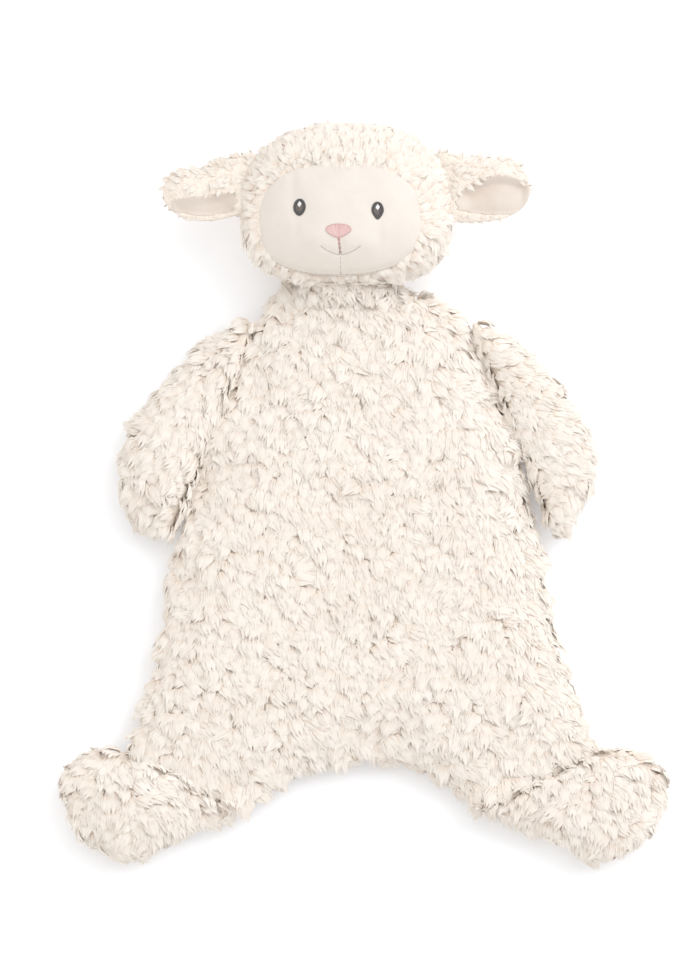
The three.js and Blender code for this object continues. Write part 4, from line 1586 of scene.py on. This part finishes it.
@dataclass
class Face:
    """The smooth velour face with its muzzle, and the embroidery on it."""

    wardrobe: Wardrobe
    ball: Ball
    half_width: float = 40.2 * MM
    half_height: float = 26 * MM
    middle: Pair = (-3.4 * MM, -9.5 * MM)
    roundness: float = 2.5
    pile: float = 5 * MM
    chin_pile: float = 2 * MM
    muzzle_rise: float = 2.5 * MM
    muzzle: Pair = (20 * MM, 13 * MM)
    features_x: float = -3.8 * MM
    nose_drop: float = 14.4 * MM
    nose_height: float = 6.2 * MM
    nose_half_width: float = 6 * MM
    mouth_x: float = -2.8 * MM
    mouth_drop: float = 27.6 * MM
    mouth_half_width: float = 9.5 * MM
    mouth_curl: float = 3.6 * MM
    eye_spacing: float = 36.8 * MM
    eye_drop: float = 6.4 * MM
    eye_tilt: float = 0.9 * MM
    eye_half: Pair = (3.0 * MM, 4.1 * MM)
    socket: Pair = (5.5 * MM, 7 * MM)
    socket_depth: float = 1.0 * MM
    fold: Pair = (2.2 * MM, 7 * MM)
    fold_depth: float = 0.5 * MM
    cheek: Pair = (7 * MM, 6 * MM)
    cheek_rise: float = 0.7 * MM
    brow: Pair = (2.4 * MM, 9 * MM)
    brow_depth: float = 0.7 * MM
    lip_depth: float = 0.9 * MM
    smile_depth: float = 0.5 * MM
    edge_drop_mm: float = 1.7
    thickness: float = 2.4 * MM
    rings: int = 44
    spokes: int = 180

    def share(self, x: Array, y: Array) -> Array:
        """How far out a place is, as a share of the way to the face's seam."""
        across, up = np.abs((x - self.middle[0]) / self.half_width), np.abs((y - self.middle[1]) / self.half_height)
        return (across**self.roundness + up**self.roundness) ** (1 / self.roundness)

    def eye_middle(self, side: Side) -> Array:
        """The middle of an eye."""
        x = self.features_x + side.value * self.eye_spacing / 2
        return np.array([x, -self.eye_drop - side.value * self.eye_tilt])

    def height(self, x: Array, y: Array) -> Array:
        """Height of the velour over the head's middle, with the dents that the stitches pull.

        Args:
            x: Places across the head, from its middle.
            y: Places up the head, from its middle.

        Returns:
            The height at each place.
        """
        b = self.ball
        share = b.share(x, y, b.half_width - self.pile, b.half_height - self.chin_pile)
        z = (b.half_depth - self.pile) * b.height(share)

        def hill(at: Sequence[float], size: Sequence[float]) -> Array:
            """A soft round hill of height one."""
            return np.exp(-(((x - at[0]) / size[0]) ** 2) - ((y - at[1]) / size[1]) ** 2)

        nose_end = -self.nose_drop - self.nose_height
        z = z + self.muzzle_rise * hill((self.features_x, nose_end), self.muzzle)
        for side in Side:
            eye = self.eye_middle(side)
            z = z - self.socket_depth * hill(eye, self.socket)
            z = z - self.fold_depth * hill(eye + np.array([side.value * 1 * MM, -11 * MM]), self.fold)
            cheek = (self.features_x + side.value * 11 * MM, nose_end - 2 * MM)
            z = z + self.cheek_rise * hill(cheek, self.cheek)
        left = self.eye_middle(Side.LEFT)
        z = z - self.brow_depth * hill(left + np.array([-3 * MM, 13 * MM]), self.brow)
        lip = np.exp(-(((x - self.mouth_x) / (1.6 * MM)) ** 2))
        z = z - self.lip_depth * lip * soft_step(-y, -nose_end - 1 * MM, -nose_end + 2 * MM)
        smile_y = -self.mouth_drop + ((x - self.mouth_x) / self.mouth_half_width) ** 2 * self.mouth_curl
        reach = soft_step(-np.abs(x - self.mouth_x), -self.mouth_half_width * 1.15, -self.mouth_half_width * 0.8)
        z = z - self.smile_depth * np.exp(-(((y - smile_y) / (1.4 * MM)) ** 2)) * reach
        turn = np.arctan2(y - self.middle[1], x - self.middle[0])
        pucker = 0.25 * np.sin(turn * 23 + 1.3) + 0.2 * np.sin(turn * 37)
        return z - (self.edge_drop_mm + pucker) * MM * soft_step(self.share(x, y), 0.9, 1.0) ** 2

    def spot(self, x: Array, y: Array, lift: float = 0.0) -> Array:
        """The point of the face over each place, in the lamb's frame."""
        return np.column_stack([x, y, self.height(x, y) + lift]) + np.array(self.ball.centre)

    def make_panel(self) -> None:
        """Makes the face's cloth: a domed panel with an edge that turns in."""
        oval = self.ball.oval(self.half_width, self.half_height, self.roundness, self.roundness, self.spokes)
        middle = np.array(self.middle)
        shares = 1 - (np.arange(self.rings) / self.rings) ** 1.35
        under = -self.thickness
        hidden = [(share, under) for share in shares[1::4][::-1]]
        points = []
        for share, lift in [*hidden, (1.0, under), *((share, 0.0) for share in shares)]:
            places = middle + oval * share
            points.append(self.spot(places[:, 0], places[:, 1], lift))
        caps = [self.spot(middle[:1], middle[1:], lift) for lift in (under, 0.0)]
        stacked = np.vstack([*points, *caps])
        n = self.spokes
        faces = ring_faces(len(points), n)
        low, last = len(points) * n, (len(points) - 1) * n
        for i in range(n):
            j = (i + 1) % n
            faces.append((low, j, i))
            faces.append((last + i, last + j, low + 1))
        settle(new_piece("face_velour", stacked, faces, self.wardrobe.face), "head", ["face_panel"])

    def sew(
        self,
        name: str,
        stitches: Sequence[Stitch],
        thread: Thread,
        thickness: float,
        nodes: Sequence[str] = (),
        lift: float = 0.0,
    ) -> None:
        """Sews one piece of embroidery onto the face, a little above the velour if need be."""
        surface = partial(self.spot, lift=lift)
        self.wardrobe.needle.sew(name, "head", stitches, surface, thread, thickness, nodes)

    def eye_edge(self, side: Side, grow: float, steps: int) -> Array:
        """An eye's outline, which comes to a soft point below.

        Args:
            side: Which eye.
            grow: Its size as a share.
            steps: How many points it has.

        Returns:
            The points, counterclockwise from the lowest.
        """
        angle = 2 * np.pi * np.arange(steps) / steps
        point = 0.12 if side is Side.LEFT else 0.3
        across = np.sin(angle) * (1 - point * np.maximum(np.cos(angle), 0) ** 2)
        up = -np.cos(angle) - point * 0.4 * np.maximum(np.cos(angle), 0) ** 4
        half = np.array(self.eye_half) * grow
        return self.eye_middle(side) + np.column_stack([across, up]) * half

    def make_eye(self, side: Side) -> None:
        """Embroiders an eye: a thick dark ring, a lighter iris of upright stitches and a white glint.

        Args:
            side: Which eye.
        """
        rng = np.random.default_rng(70 + side.value)
        middle, word, steps = self.eye_middle(side), side.word, 46
        outer, inner = self.eye_edge(side, 1.0, steps), self.eye_edge(side, 0.5, steps)
        rim = [Stitch(a, b, rng.uniform(0, 0.7)) for a, b in zip(inner, outer)]
        iris = []
        for x in np.linspace(-0.62, 0.62, 11):
            half = self.eye_half[1] * 0.72 * math.sqrt(max(0.0, 1 - (x / 0.75) ** 2))
            place = middle + np.array([x * self.eye_half[0], 0])
            low, high = place - np.array([0, half]), place + np.array([0, half * rng.uniform(0.5, 0.8)])
            iris.append(Stitch(low, high, rng.uniform(0, 1)))
        glint_middle = middle + np.array([0.0, 0.33 * self.eye_half[1]])
        glint = []
        for x in np.linspace(-0.8, 0.8, 5):
            half = np.array([0, 1.45 * MM * (1 - abs(x) * 0.8)])
            place = glint_middle + np.array([x * 0.85 * MM, 0.1 * MM * x])
            glint.append(Stitch(place - half, place + half, rng.uniform(0, 0.6)))
        self.sew(f"{word}_eye_iris", iris, Thread.IRIS, 0.24 * MM, lift=0.1 * MM)
        self.sew(f"{word}_eye_rim", rim, Thread.RIM, 0.26 * MM, [f"{word}_eye_stitching"], 0.2 * MM)
        self.sew(f"{word}_eye_glint_thread", glint, Thread.GLINT, 0.22 * MM, [f"{word}_eye_glint"], 0.5 * MM)

    def make_nose(self) -> None:
        """Embroiders the nose: a fan of pink stitches that meet in a point, with darker ones at its edges."""
        rng = np.random.default_rng(77)
        top = np.array([self.features_x, -self.nose_drop])
        half, tall = self.nose_half_width, self.nose_height
        dome = np.array([
            [-1, -0.44], [-0.97, -0.28], [-0.78, -0.13], [-0.42, -0.03], [0, 0.0],
            [0.42, -0.03], [0.78, -0.13], [0.97, -0.28], [1, -0.44],
        ]) * np.array([half, tall])
        upper = smooth_line(dome, 33)
        fan = []
        for i, place in enumerate(upper):
            t = i / (len(upper) - 1) * 2 - 1
            foot = np.array([t * half * 0.34, -tall * (1 - 0.12 * abs(t))])
            shade = 0.7 - 0.5 * math.exp(-((t / 0.16) ** 2)) + rng.uniform(-0.45, 0.3)
            fan.append(Stitch(top + place, top + foot, np.clip(shade, 0, 1)))
        self.sew("nose_fan", fan, Thread.NOSE, 0.27 * MM, ["nose_stitching"], 0.1 * MM)
        edge = []
        for sign in (-1, 1):
            line = np.array([[sign * 1.0, -0.44], [sign * 0.76, -0.7], [sign * 0.36, -0.91], [0, -1.02]])
            edge += backstitch(top + line * np.array([half, tall]), 1.7 * MM, 0.05 * MM, (0.2, 0.6), 5 + sign)
        edge += backstitch(top + dome, 1.7 * MM, 0.05 * MM, (0.5, 0.5), 8)
        self.sew("nose_edge", edge, Thread.NOSE_RIM, 0.2 * MM, lift=0.25 * MM)

    def make_mouth(self) -> None:
        """Embroiders the lip line and the smile, and sews the chin's seam and the seam round the face."""
        nose_end = -self.nose_drop - self.nose_height
        lip = []
        for offset in (-0.3 * MM, 0.3 * MM):
            ends = ((self.features_x + offset, nose_end), (self.mouth_x + offset, -self.mouth_drop + 0.2 * MM))
            lip += backstitch(straight(*ends, 8), 1.7 * MM, 0.05 * MM, (0.0, 1.0), 21)
        self.sew("lip_line", lip, Thread.LIP, 0.26 * MM, ["lip_line_stitching"])
        t = np.linspace(-1, 1, 9)
        smile = np.column_stack([
            self.mouth_x + t * self.mouth_half_width, -self.mouth_drop + t**2 * self.mouth_curl,
        ])
        line = backstitch(smile, 1.9 * MM, 0.1 * MM, (0.4, 0.4), 22)
        self.sew("smile", line, Thread.SMILE, 0.21 * MM, ["smile_stitching"])
        chin_end = (self.mouth_x, self.middle[1] - self.half_height)
        chin = straight((self.mouth_x, -self.mouth_drop - 0.5 * MM), chin_end, 12)
        line = backstitch(chin, 1.6 * MM, 0.3 * MM, (0.4, 0.6), 23)
        self.sew("chin_seam", line, Thread.SEAM, 0.22 * MM, ["chin_seam_thread"])
        half_width, half_height = self.half_width * 0.993, self.half_height * 0.993
        oval = self.ball.oval(half_width, half_height, self.roundness, self.roundness, 90)
        places = np.array(self.middle) + np.vstack([oval, oval[:1]])
        line = backstitch(places, 2.0 * MM, 0.4 * MM, (0.5, 0.5), 24)
        self.sew("face_seam", line, Thread.SEAM, 0.2 * MM, ["face_seam_thread"])

    def make(self) -> None:
        """Makes the panel and everything that is sewn on it."""
        self.make_panel()
        for side in Side:
            self.make_eye(side)
        self.make_nose()
        self.make_mouth()


@dataclass
class Ear:
    """A floppy plush ear: long pile on its back and upper half, smooth lining in its hollow."""

    wardrobe: Wardrobe
    ball: Ball
    side: Side
    length: float = 37 * MM
    half_height: float = 14.5 * MM
    hinge_rise: float = 8 * MM
    hinge_reach: float = 51.2 * MM
    front_shift: float = 4 * MM
    rise: float = 4.4 * MM
    drop: float = 4.4 * MM
    rim: float = 0.9 * MM
    pocket: float = 4.0 * MM
    swell: float = 2.4
    spokes: int = 72
    rings: int = 18
    lining_lift: float = 0.45 * MM
    lining_thickness: float = 0.4 * MM
    cushion: Cushion | None = None

    @property
    def name(self) -> str:
        """The ear's body, such as left_ear."""
        return f"{self.side.word}_ear"

    def placed(self, shares: Array) -> Array:
        """Turns shares of the ear's length and half height into places on the floor."""
        x, y = self.side.value * (self.hinge_reach + shares[:, 0] * self.length), shares[:, 1] * self.half_height
        return np.column_stack([x, self.hinge_rise + y]) + np.array(self.ball.centre[:2])

    def shares(self, x: Array, y: Array) -> tuple[Array, Array]:
        """Turns places on the floor into shares of the ear's length and half height."""
        out = (self.side.value * (x - self.ball.centre[0]) - self.hinge_reach) / self.length
        return out, (y - self.ball.centre[1] - self.hinge_rise) / self.half_height

    def roof(self, out: Array) -> Array:
        """How far up the hollow reaches: the left ear is folded lower than the right."""
        return -0.12 - 0.34 * out if self.side is Side.LEFT else 0.42 - 2.2 * (out - 0.58) ** 2

    def hollow(self, x: Array, y: Array) -> Array:
        """How deep in the ear's hollow a place is.

        Args:
            x: Places across.
            y: Places up.

        Returns:
            From 0 at the hollow's edge to 1 on its floor.
        """
        out, up = self.shares(x, y)
        floor = -0.99 + 0.8 * (out - 0.45) ** 2
        inside = np.minimum((self.roof(out) - up) / 0.36, (up - floor) / 0.14)
        tip = 0.88 if self.side is Side.LEFT else 0.97
        ends = np.minimum((out + 0.02) / 0.22, (tip - out) / 0.14)
        return soft_step(np.minimum(inside, ends), 0, 1)

    def sunk(self, x: Array, y: Array) -> Array:
        """How far the ear's front is sunk in, most of all high up and near the root.

        Args:
            x: Places across.
            y: Places up.

        Returns:
            The depth at each place.
        """
        out, up = self.shares(x, y)
        high, near_root = 0.75 * soft_step(up, -0.7, 0.2), 0.5 * soft_step(-out, -0.6, -0.15)
        return self.pocket * (0.55 + high) * (1 + near_root) * self.hollow(x, y)

    def outline(self) -> tuple[Array, Array]:
        """Draws the cloth's edge, which is pulled in more where long pile hangs over it.

        Returns:
            The edge and the middle.
        """
        rows = np.array(LEFT_EAR if self.side is Side.LEFT else RIGHT_EAR)
        edge = smooth_line(rows, self.spokes, closed=True)
        middle = np.array([0.5, 0.0])
        places, centre = self.placed(edge), self.placed(middle[None])[0]
        pull = (0.5 + 1.3 * soft_step(edge[:, 1], -0.5, 0.5)) * MM * soft_step(edge[:, 0], -0.1, 0.1)
        return counterclockwise(pulled_in(places, centre, pull)), centre

    def cut(self) -> None:
        """Cuts the ear's cloth, hollow in front."""
        outline, centre = self.outline()
        base = self.ball.centre[2] + self.front_shift

        def top(places: Array, share: Array) -> Array:
            """The ear's front."""
            return base + self.rim + self.rise * (1 - share**self.swell) - self.sunk(*places.T)

        def bottom(places: Array, share: Array) -> Array:
            """The ear's back."""
            return base - self.rim - self.drop * (1 - share**self.swell)

        rings = tuple(1 - (np.arange(self.rings) / (self.rings - 1)) ** 1.2)
        form = Swell(outline, centre, top, bottom, rings)
        self.cushion = Cushion(f"{self.name}_cushion", self.name, (f"{self.name}_plush",), form, 0.3)
        self.cushion.piece = form.build(self.cushion.name)

    def make_lining(self) -> None:
        """Makes the smooth lining that lies in the hollow."""
        cloth = self.cushion.piece
        places, normals = places_of(cloth), normals_of(cloth)
        inside = (self.hollow(places[:, 0], places[:, 1]) > 0.02) & (normals[:, 2] > 0)
        places, normals, faces = picked(
            cloth, [tuple(p.vertices) for p in cloth.data.polygons if inside[list(p.vertices)].all()]
        )
        places += normals * self.lining_lift
        lining = new_piece(f"{self.name}_velour", places, faces, self.wardrobe.lining)
        thick = lining.modifiers.new("thickness", "SOLIDIFY")
        thick.thickness = self.lining_thickness
        thick.offset = -1
        subdivided(lining)
        settle(lining, self.name, [f"{self.name}_lining"])

    def flow(self, points: Array, normals: Array) -> Array:
        """Lays the pile out to the ear's tip, and down over the hollow.

        Args:
            points: Places on the cloth.
            normals: Its normals there.

        Returns:
            The direction at each place.
        """
        _, up = self.shares(points[:, 0], points[:, 1])
        lie = np.zeros((len(points), 3))
        lie[:, 0] = self.side.value * 0.8
        lie[:, 1] = 0.9 * soft_step(up, 0.1, 0.8) - 0.5
        return unit(lie + normals * np.array([0.6, 0.6, 0]))

    def growth(self, points: Array, normals: Array) -> Array:
        """Long locks above, short ones along the lower rim, at the tip and the root and behind.

        Args:
            points: Places on the cloth.
            normals: Its normals there.

        Returns:
            The size of the locks at each place, as a share.
        """
        out, up = self.shares(points[:, 0], points[:, 1])
        low = soft_step(-up, 0.0, 0.6)
        tip = soft_step(out, 0.55, 1.0)
        root = soft_step(-out, -0.25, 0.1)
        near = soft_step(self.roof(out) - up, -0.45, -0.1) * soft_step(normals[:, 2], 0, 0.3)
        back = soft_step(-normals[:, 2], 0, 0.5)
        return (0.6 - 0.25 * low) * (1 - 0.2 * tip) * (1 - 0.2 * root) * (1 - 0.15 * near) * (1 - 0.25 * back)

    def dress(self) -> None:
        """Covers the ear with pile, but for its lining."""
        self.make_lining()
        self.cushion.piece.data.materials.append(self.wardrobe.backing)
        self.cushion.place()
        for word, facing, spacing in (("front", True, 1.2 * MM), ("back", False, 2.4 * MM)):

            def keep(middles: Array, normals: Array) -> Array:
                """The faces of this side, but for those under the lining."""
                bare = (self.hollow(middles[:, 0], middles[:, 1]) > 0.12) & (normals[:, 2] > 0)
                return ~bare & ((normals[:, 2] > -0.2) == facing)

            self.wardrobe.pile.grow(
                f"{self.name}_{word}_pile", self.name, self.cushion.piece, keep, self.flow, self.growth,
                50 + self.side.value + 4 * facing,
                {"Spacing": spacing, "Rise": 0.1, "Height": 0.6, "Swirl": 0.6, "Breadth": 0.6},
            )


@dataclass
class Head:
    """The stuffed head: plush hood and back, the face and two ears."""

    wardrobe: Wardrobe
    ball: Ball = field(default_factory=Ball)
    side_inset: float = 2.4 * MM
    chin_inset: float = 4.0 * MM
    crown_stretch: float = 1.06
    front_inset: float = 4.6 * MM
    back_inset: float = 2.4 * MM
    face_seat: float = 3.6 * MM
    steps: int = 72
    rings: tuple[float, ...] = (1, 0.995, 0.98, 0.955, 0.92, 0.87, 0.8, 0.7, 0.58, 0.44, 0.28, 0.13, 0)
    cushion: Cushion | None = None
    face: Face = field(init=False)
    ears: list[Ear] = field(init=False)

    def __post_init__(self) -> None:
        """Makes the face and the ears that the head carries."""
        self.face = Face(self.wardrobe, self.ball)
        self.ears = [Ear(self.wardrobe, self.ball, side) for side in Side]

    def cut(self) -> None:
        """Cuts the head's cloth."""
        b, face = self.ball, self.face
        half_width, half_height = b.half_width - self.side_inset, b.half_height - self.chin_inset
        centre = np.array(b.centre)
        outline = b.oval(half_width, half_height, b.crown, b.jowl, self.steps)
        outline[:, 1] *= np.where(outline[:, 1] > 0, self.crown_stretch, 1)
        outline += centre[:2]

        def top(places: Array, share: Array) -> Array:
            """The head's front, set back under the face."""
            seat = self.face_seat * (1 - soft_step(face.share(*(places - centre[:2]).T), 0.88, 1.02))
            return centre[2] + (b.half_depth - self.front_inset) * b.height(share) - seat * (share < 0.98)

        def bottom(places: Array, share: Array) -> Array:
            """The head's back."""
            return np.maximum(centre[2] - (b.half_depth - self.back_inset) * b.height(share), CLOTH_FLOOR)

        nodes = ("head_hood_plush", "head_back_plush", "head_stuffing")
        form = Swell(outline, centre[:2], top, bottom, self.rings)
        self.cushion = Cushion("head_cushion", "head", nodes, form, 0.85, 3.5 * MM, cap=0.8 * MM)
        self.cushion.cut()

    def near_face(self, points: Array) -> Array:
        """How far out each point is from the face's middle, as a share of the way to the seam."""
        local = points - np.array(self.ball.centre)
        return self.face.share(local[:, 0], local[:, 1])

    def away(self, points: Array) -> Array:
        """The direction away from the face's middle at each point."""
        local = points - np.array(self.ball.centre)
        return unit((local[:, :2] - np.array(self.face.middle)) * np.array([1.0, 1.4]))

    def flow(self, points: Array, normals: Array) -> Array:
        """Lays the hood's pile away from the face, and down on the back.

        Args:
            points: Places on the cloth.
            normals: Its normals there.

        Returns:
            The direction at each place.
        """
        front = facing_up(normals)
        low = soft_step(self.ball.centre[1] - points[:, 1], 0, 20 * MM)
        lie = self.away(points) * front[:, None] + np.outer(low, (0, -0.7))
        return unit(np.column_stack([lie, np.zeros(len(lie))]) + np.outer(1 - front, (0, -1, 0)))

    def fringe_flow(self, points: Array, normals: Array) -> Array:
        """Lays the fringe over the brow, in towards the face."""
        lie = -self.away(points) + np.array([0, -0.3])
        return unit(np.column_stack([lie, np.zeros(len(lie))]))

    def growth(self, points: Array, normals: Array) -> Array:
        """Full locks round the face, longer ones at the chin and shorter ones on the back.

        Args:
            points: Places on the cloth.
            normals: Its normals there.

        Returns:
            The size of the locks at each place, as a share.
        """
        local = points - np.array(self.ball.centre)
        chin = soft_step(-local[:, 1], 22 * MM, 32 * MM)
        jowl = soft_step(-local[:, 1], 8 * MM, 22 * MM) * soft_step(np.abs(local[:, 0]), 20 * MM, 34 * MM)
        middle = 1 - soft_step(np.abs(local[:, 0]), 18 * MM, 30 * MM)
        edge = 1 - soft_step(self.near_face(points), 0.9, 1.1)
        return (0.84 + 0.22 * chin * middle + 0.1 * jowl) * shorter_behind(normals) * (1 - 0.22 * edge)

    def dress(self) -> None:
        """Makes the face and the ears, and covers the rest with pile."""
        self.cushion.smooth(self.wardrobe.backing)
        self.cushion.place()
        self.face.make()
        for ear in self.ears:
            ear.cut()
            ear.dress()
        for word, facing, spacing in (("hood", True, 1.7 * MM), ("nape", False, 2.6 * MM)):

            def keep(middles: Array, normals: Array) -> Array:
                """The faces outside the face, in front or behind."""
                bare = (self.near_face(middles) < 0.925) & (normals[:, 2] > 0)
                return ~bare & ((normals[:, 2] > -0.2) == facing)

            self.wardrobe.pile.grow(
                f"{word}_pile", "head", self.cushion.piece, keep, self.flow, self.growth, 31 + facing,
                {"Spacing": spacing, "Swirl": 0.9, "Rise": 0.06, "Height": 0.45, "Breadth": 0.65},
            )
        self.hang_fringe()

    def hang_fringe(self) -> None:
        """Plants the row of pile that falls over the brow."""

        def keep(middles: Array, normals: Array) -> Array:
            """The faces just above the face."""
            share, up = self.near_face(middles), middles[:, 1] - self.ball.centre[1]
            return (up > 7 * MM) & (share > 1.0) & (share < 1.32) & (normals[:, 2] > 0)

        def growth(points: Array, normals: Array) -> Array:
            """Full locks in the middle, shorter ones at the temples."""
            return 0.74 - 0.26 * soft_step(np.abs(points[:, 0] - self.ball.centre[0]), 14 * MM, 26 * MM)

        sizes = {"Spacing": 1.9 * MM, "Swirl": 0.7, "Rise": 0.08, "Height": 0.6, "Breadth": 0.65}
        cloth = self.cushion.piece
        self.wardrobe.pile.grow("fringe_pile", "head", cloth, keep, self.fringe_flow, growth, 37, sizes)


@dataclass
class Neck:
    """The gathered cloth neck between body and head."""

    wardrobe: Wardrobe
    hinge: Triple = (-8 * MM, 95.956 * MM, 16 * MM)
    half_width: float = 22 * MM
    half_depth: float = 9.5 * MM
    reach: Pair = (-10 * MM, 15 * MM)
    turn: float = 4 * MM
    gathers: int = 14
    steps: int = 56
    stations: int = 18

    def make(self) -> None:
        """Makes the sleeve, whose ends are hidden in the body and the head, and its pile."""
        x0, y0, z0 = self.hinge
        points, faces = [], []
        along = np.linspace(*self.reach, self.stations)
        angle = 2 * np.pi * np.arange(self.steps) / self.steps
        for y in along:
            waist = 1 + (0.12 * (y / self.reach[1]) ** 2 if y > 0 else -0.3 * (y / self.reach[0]) ** 2)
            fold = 1 + 0.05 * np.sin(self.gathers * angle + y * 90)
            x = x0 + self.half_width * waist * fold * np.cos(angle)
            z = z0 + self.half_depth * waist * fold * np.sin(angle)
            points.append(np.column_stack([x, np.full(self.steps, y0 + y), z]))
        stacked = np.vstack([*points, [[x0, y0 + along[0], z0]], [[x0, y0 + along[-1], z0]]])
        n, last = self.steps, (self.stations - 1) * self.steps
        for i in range(n):
            j = (i + 1) % n
            for k in range(self.stations - 1):
                faces.append((k * n + i, (k + 1) * n + i, (k + 1) * n + j, k * n + j))
            faces.append((len(stacked) - 2, i, j))
            faces.append((len(stacked) - 1, last + j, last + i))
        sleeve = new_piece("neck_sleeve", stacked, faces, self.wardrobe.backing)

        def keep(middles: Array, normals: Array) -> Array:
            """The faces between body and head."""
            return np.abs(middles[:, 1] - y0 - 1.5 * MM) < 6 * MM

        def flow(places: Array, normals: Array) -> Array:
            """Down towards the body."""
            return np.tile((0.0, -1.0, 0.0), (len(places), 1))

        def growth(places: Array, normals: Array) -> Array:
            """The same size everywhere."""
            return np.full(len(places), 0.8)

        sizes = {"Spacing": 2.2 * MM, "Lift": 0.4}
        pile = self.wardrobe.pile.grow("neck_pile", "", sleeve, keep, flow, growth, 61, sizes)
        start, end = (x0, y0 - self.turn, z0), (x0, y0 + self.turn, z0)
        for piece in (sleeve, pile):
            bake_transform(piece)
            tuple(start)
            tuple(end)
            LOG.info("%s: %d faces from torso to neck", piece.name, len(piece.data.polygons))
        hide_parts("neck_plug")


# Studio


@dataclass
class Studio:
    """A white floor, soft light and the camera over the lamb."""

    aim: Triple = (-6.4 * MM, 1.0 * MM, 12 * MM)
    distance: float = 4.0
    elevation: float = 80.0
    lens: float = 310.7
    floor_size: float = 6.0
    floor_glow: float = 0.14
    air: float = 0.8
    gamma: float = 1.3

    def place_camera(self) -> None:
        """Puts the camera where the photograph was taken from."""
        data = bpy.data.cameras.new("camera")
        data.lens = self.lens
        data.sensor_width = 36
        camera = bpy.data.objects.new("camera", data)
        tilt = math.radians(self.elevation)
        offset = Vector((0, -math.cos(tilt), math.sin(tilt))) * self.distance
        camera.location = Vector(self.aim) + offset
        camera.rotation_euler = (-offset).to_track_quat("-Z", "Y").to_euler()
        bpy.context.scene.collection.objects.link(camera)
        bpy.context.scene.camera = camera

    def lay_floor(self) -> None:
        """Lays the plain pale floor."""
        glow = {"Emission Color": linear("ffffff"), "Emission Strength": self.floor_glow}
        paint = Paint("studio_floor", 0.9, 0.0, glow)
        half = self.floor_size / 2
        corners = [(-half, -half, 0), (half, -half, 0), (half, half, 0), (-half, half, 0)]
        floor = new_piece("studio_floor", np.array(corners, float), [(0, 1, 2, 3)])
        tint = paint.shade(paint.noise(0.6, 2.0), "f7f8fa", "fbfbfc")
        floor.data.materials.append(paint.finish(tint))

    def add_light(self, name: str, at: Sequence[float], size: float, power: float, tint: str) -> None:
        """Hangs one soft light that points at the lamb.

        Args:
            name: The light's name.
            at: Where it hangs.
            size: Its side in metres.
            power: Its power in watts.
            tint: Its colour, as sRGB hex.
        """
        data = bpy.data.lights.new(name, "AREA")
        data.size = size
        data.energy = power
        data.color = linear(tint)[:3]
        lamp = bpy.data.objects.new(name, data)
        lamp.location = at
        lamp.rotation_euler = (-Vector(at)).to_track_quat("-Z", "Y").to_euler()
        bpy.context.scene.collection.objects.link(lamp)

    def build(self) -> None:
        """Builds the whole studio."""
        self.place_camera()
        self.lay_floor()
        self.add_light("window", (1.7, 1.0, 1.6), 2.2, 42.5, "fafcff")
        self.add_light("white_card", (-1.5, -0.9, 1.2), 1.6, 5.5, "fff1e0")
        self.add_light("sky_panel", (0.0, 0.6, 2.2), 1.8, 8, "fcfbfa")
        world = bpy.data.worlds.new("studio_air")
        world.use_nodes = True
        ground = world.node_tree.nodes["Background"]
        ground.inputs[0].default_value = linear("fafbfd")
        ground.inputs[1].default_value = self.air
        bpy.context.scene.world = world
        settings = bpy.context.scene.view_settings
        settings.view_transform = "Standard"
        settings.gamma = self.gamma


def main() -> None:
    """Builds the lamb and the studio."""
    logging.basicConfig(level=logging.INFO, format="%(name)s %(message)s")
    wardrobe = Wardrobe.fitted()
    torso = Torso(wardrobe)
    head = Head(wardrobe)
    limbs = [limb(torso, side) for side in Side for limb in (Limb.arm, Limb.foot)]
    parts = [torso, head, *limbs]
    for part in parts:
        part.cut()
    blow_up([part.cushion for part in parts])
    for part in parts:
        part.dress()
    Neck(wardrobe).make()
    LOG.info("pile: %d faces", wardrobe.pile.planted)
    Studio().build()


if __name__ == "__main__":
    main()
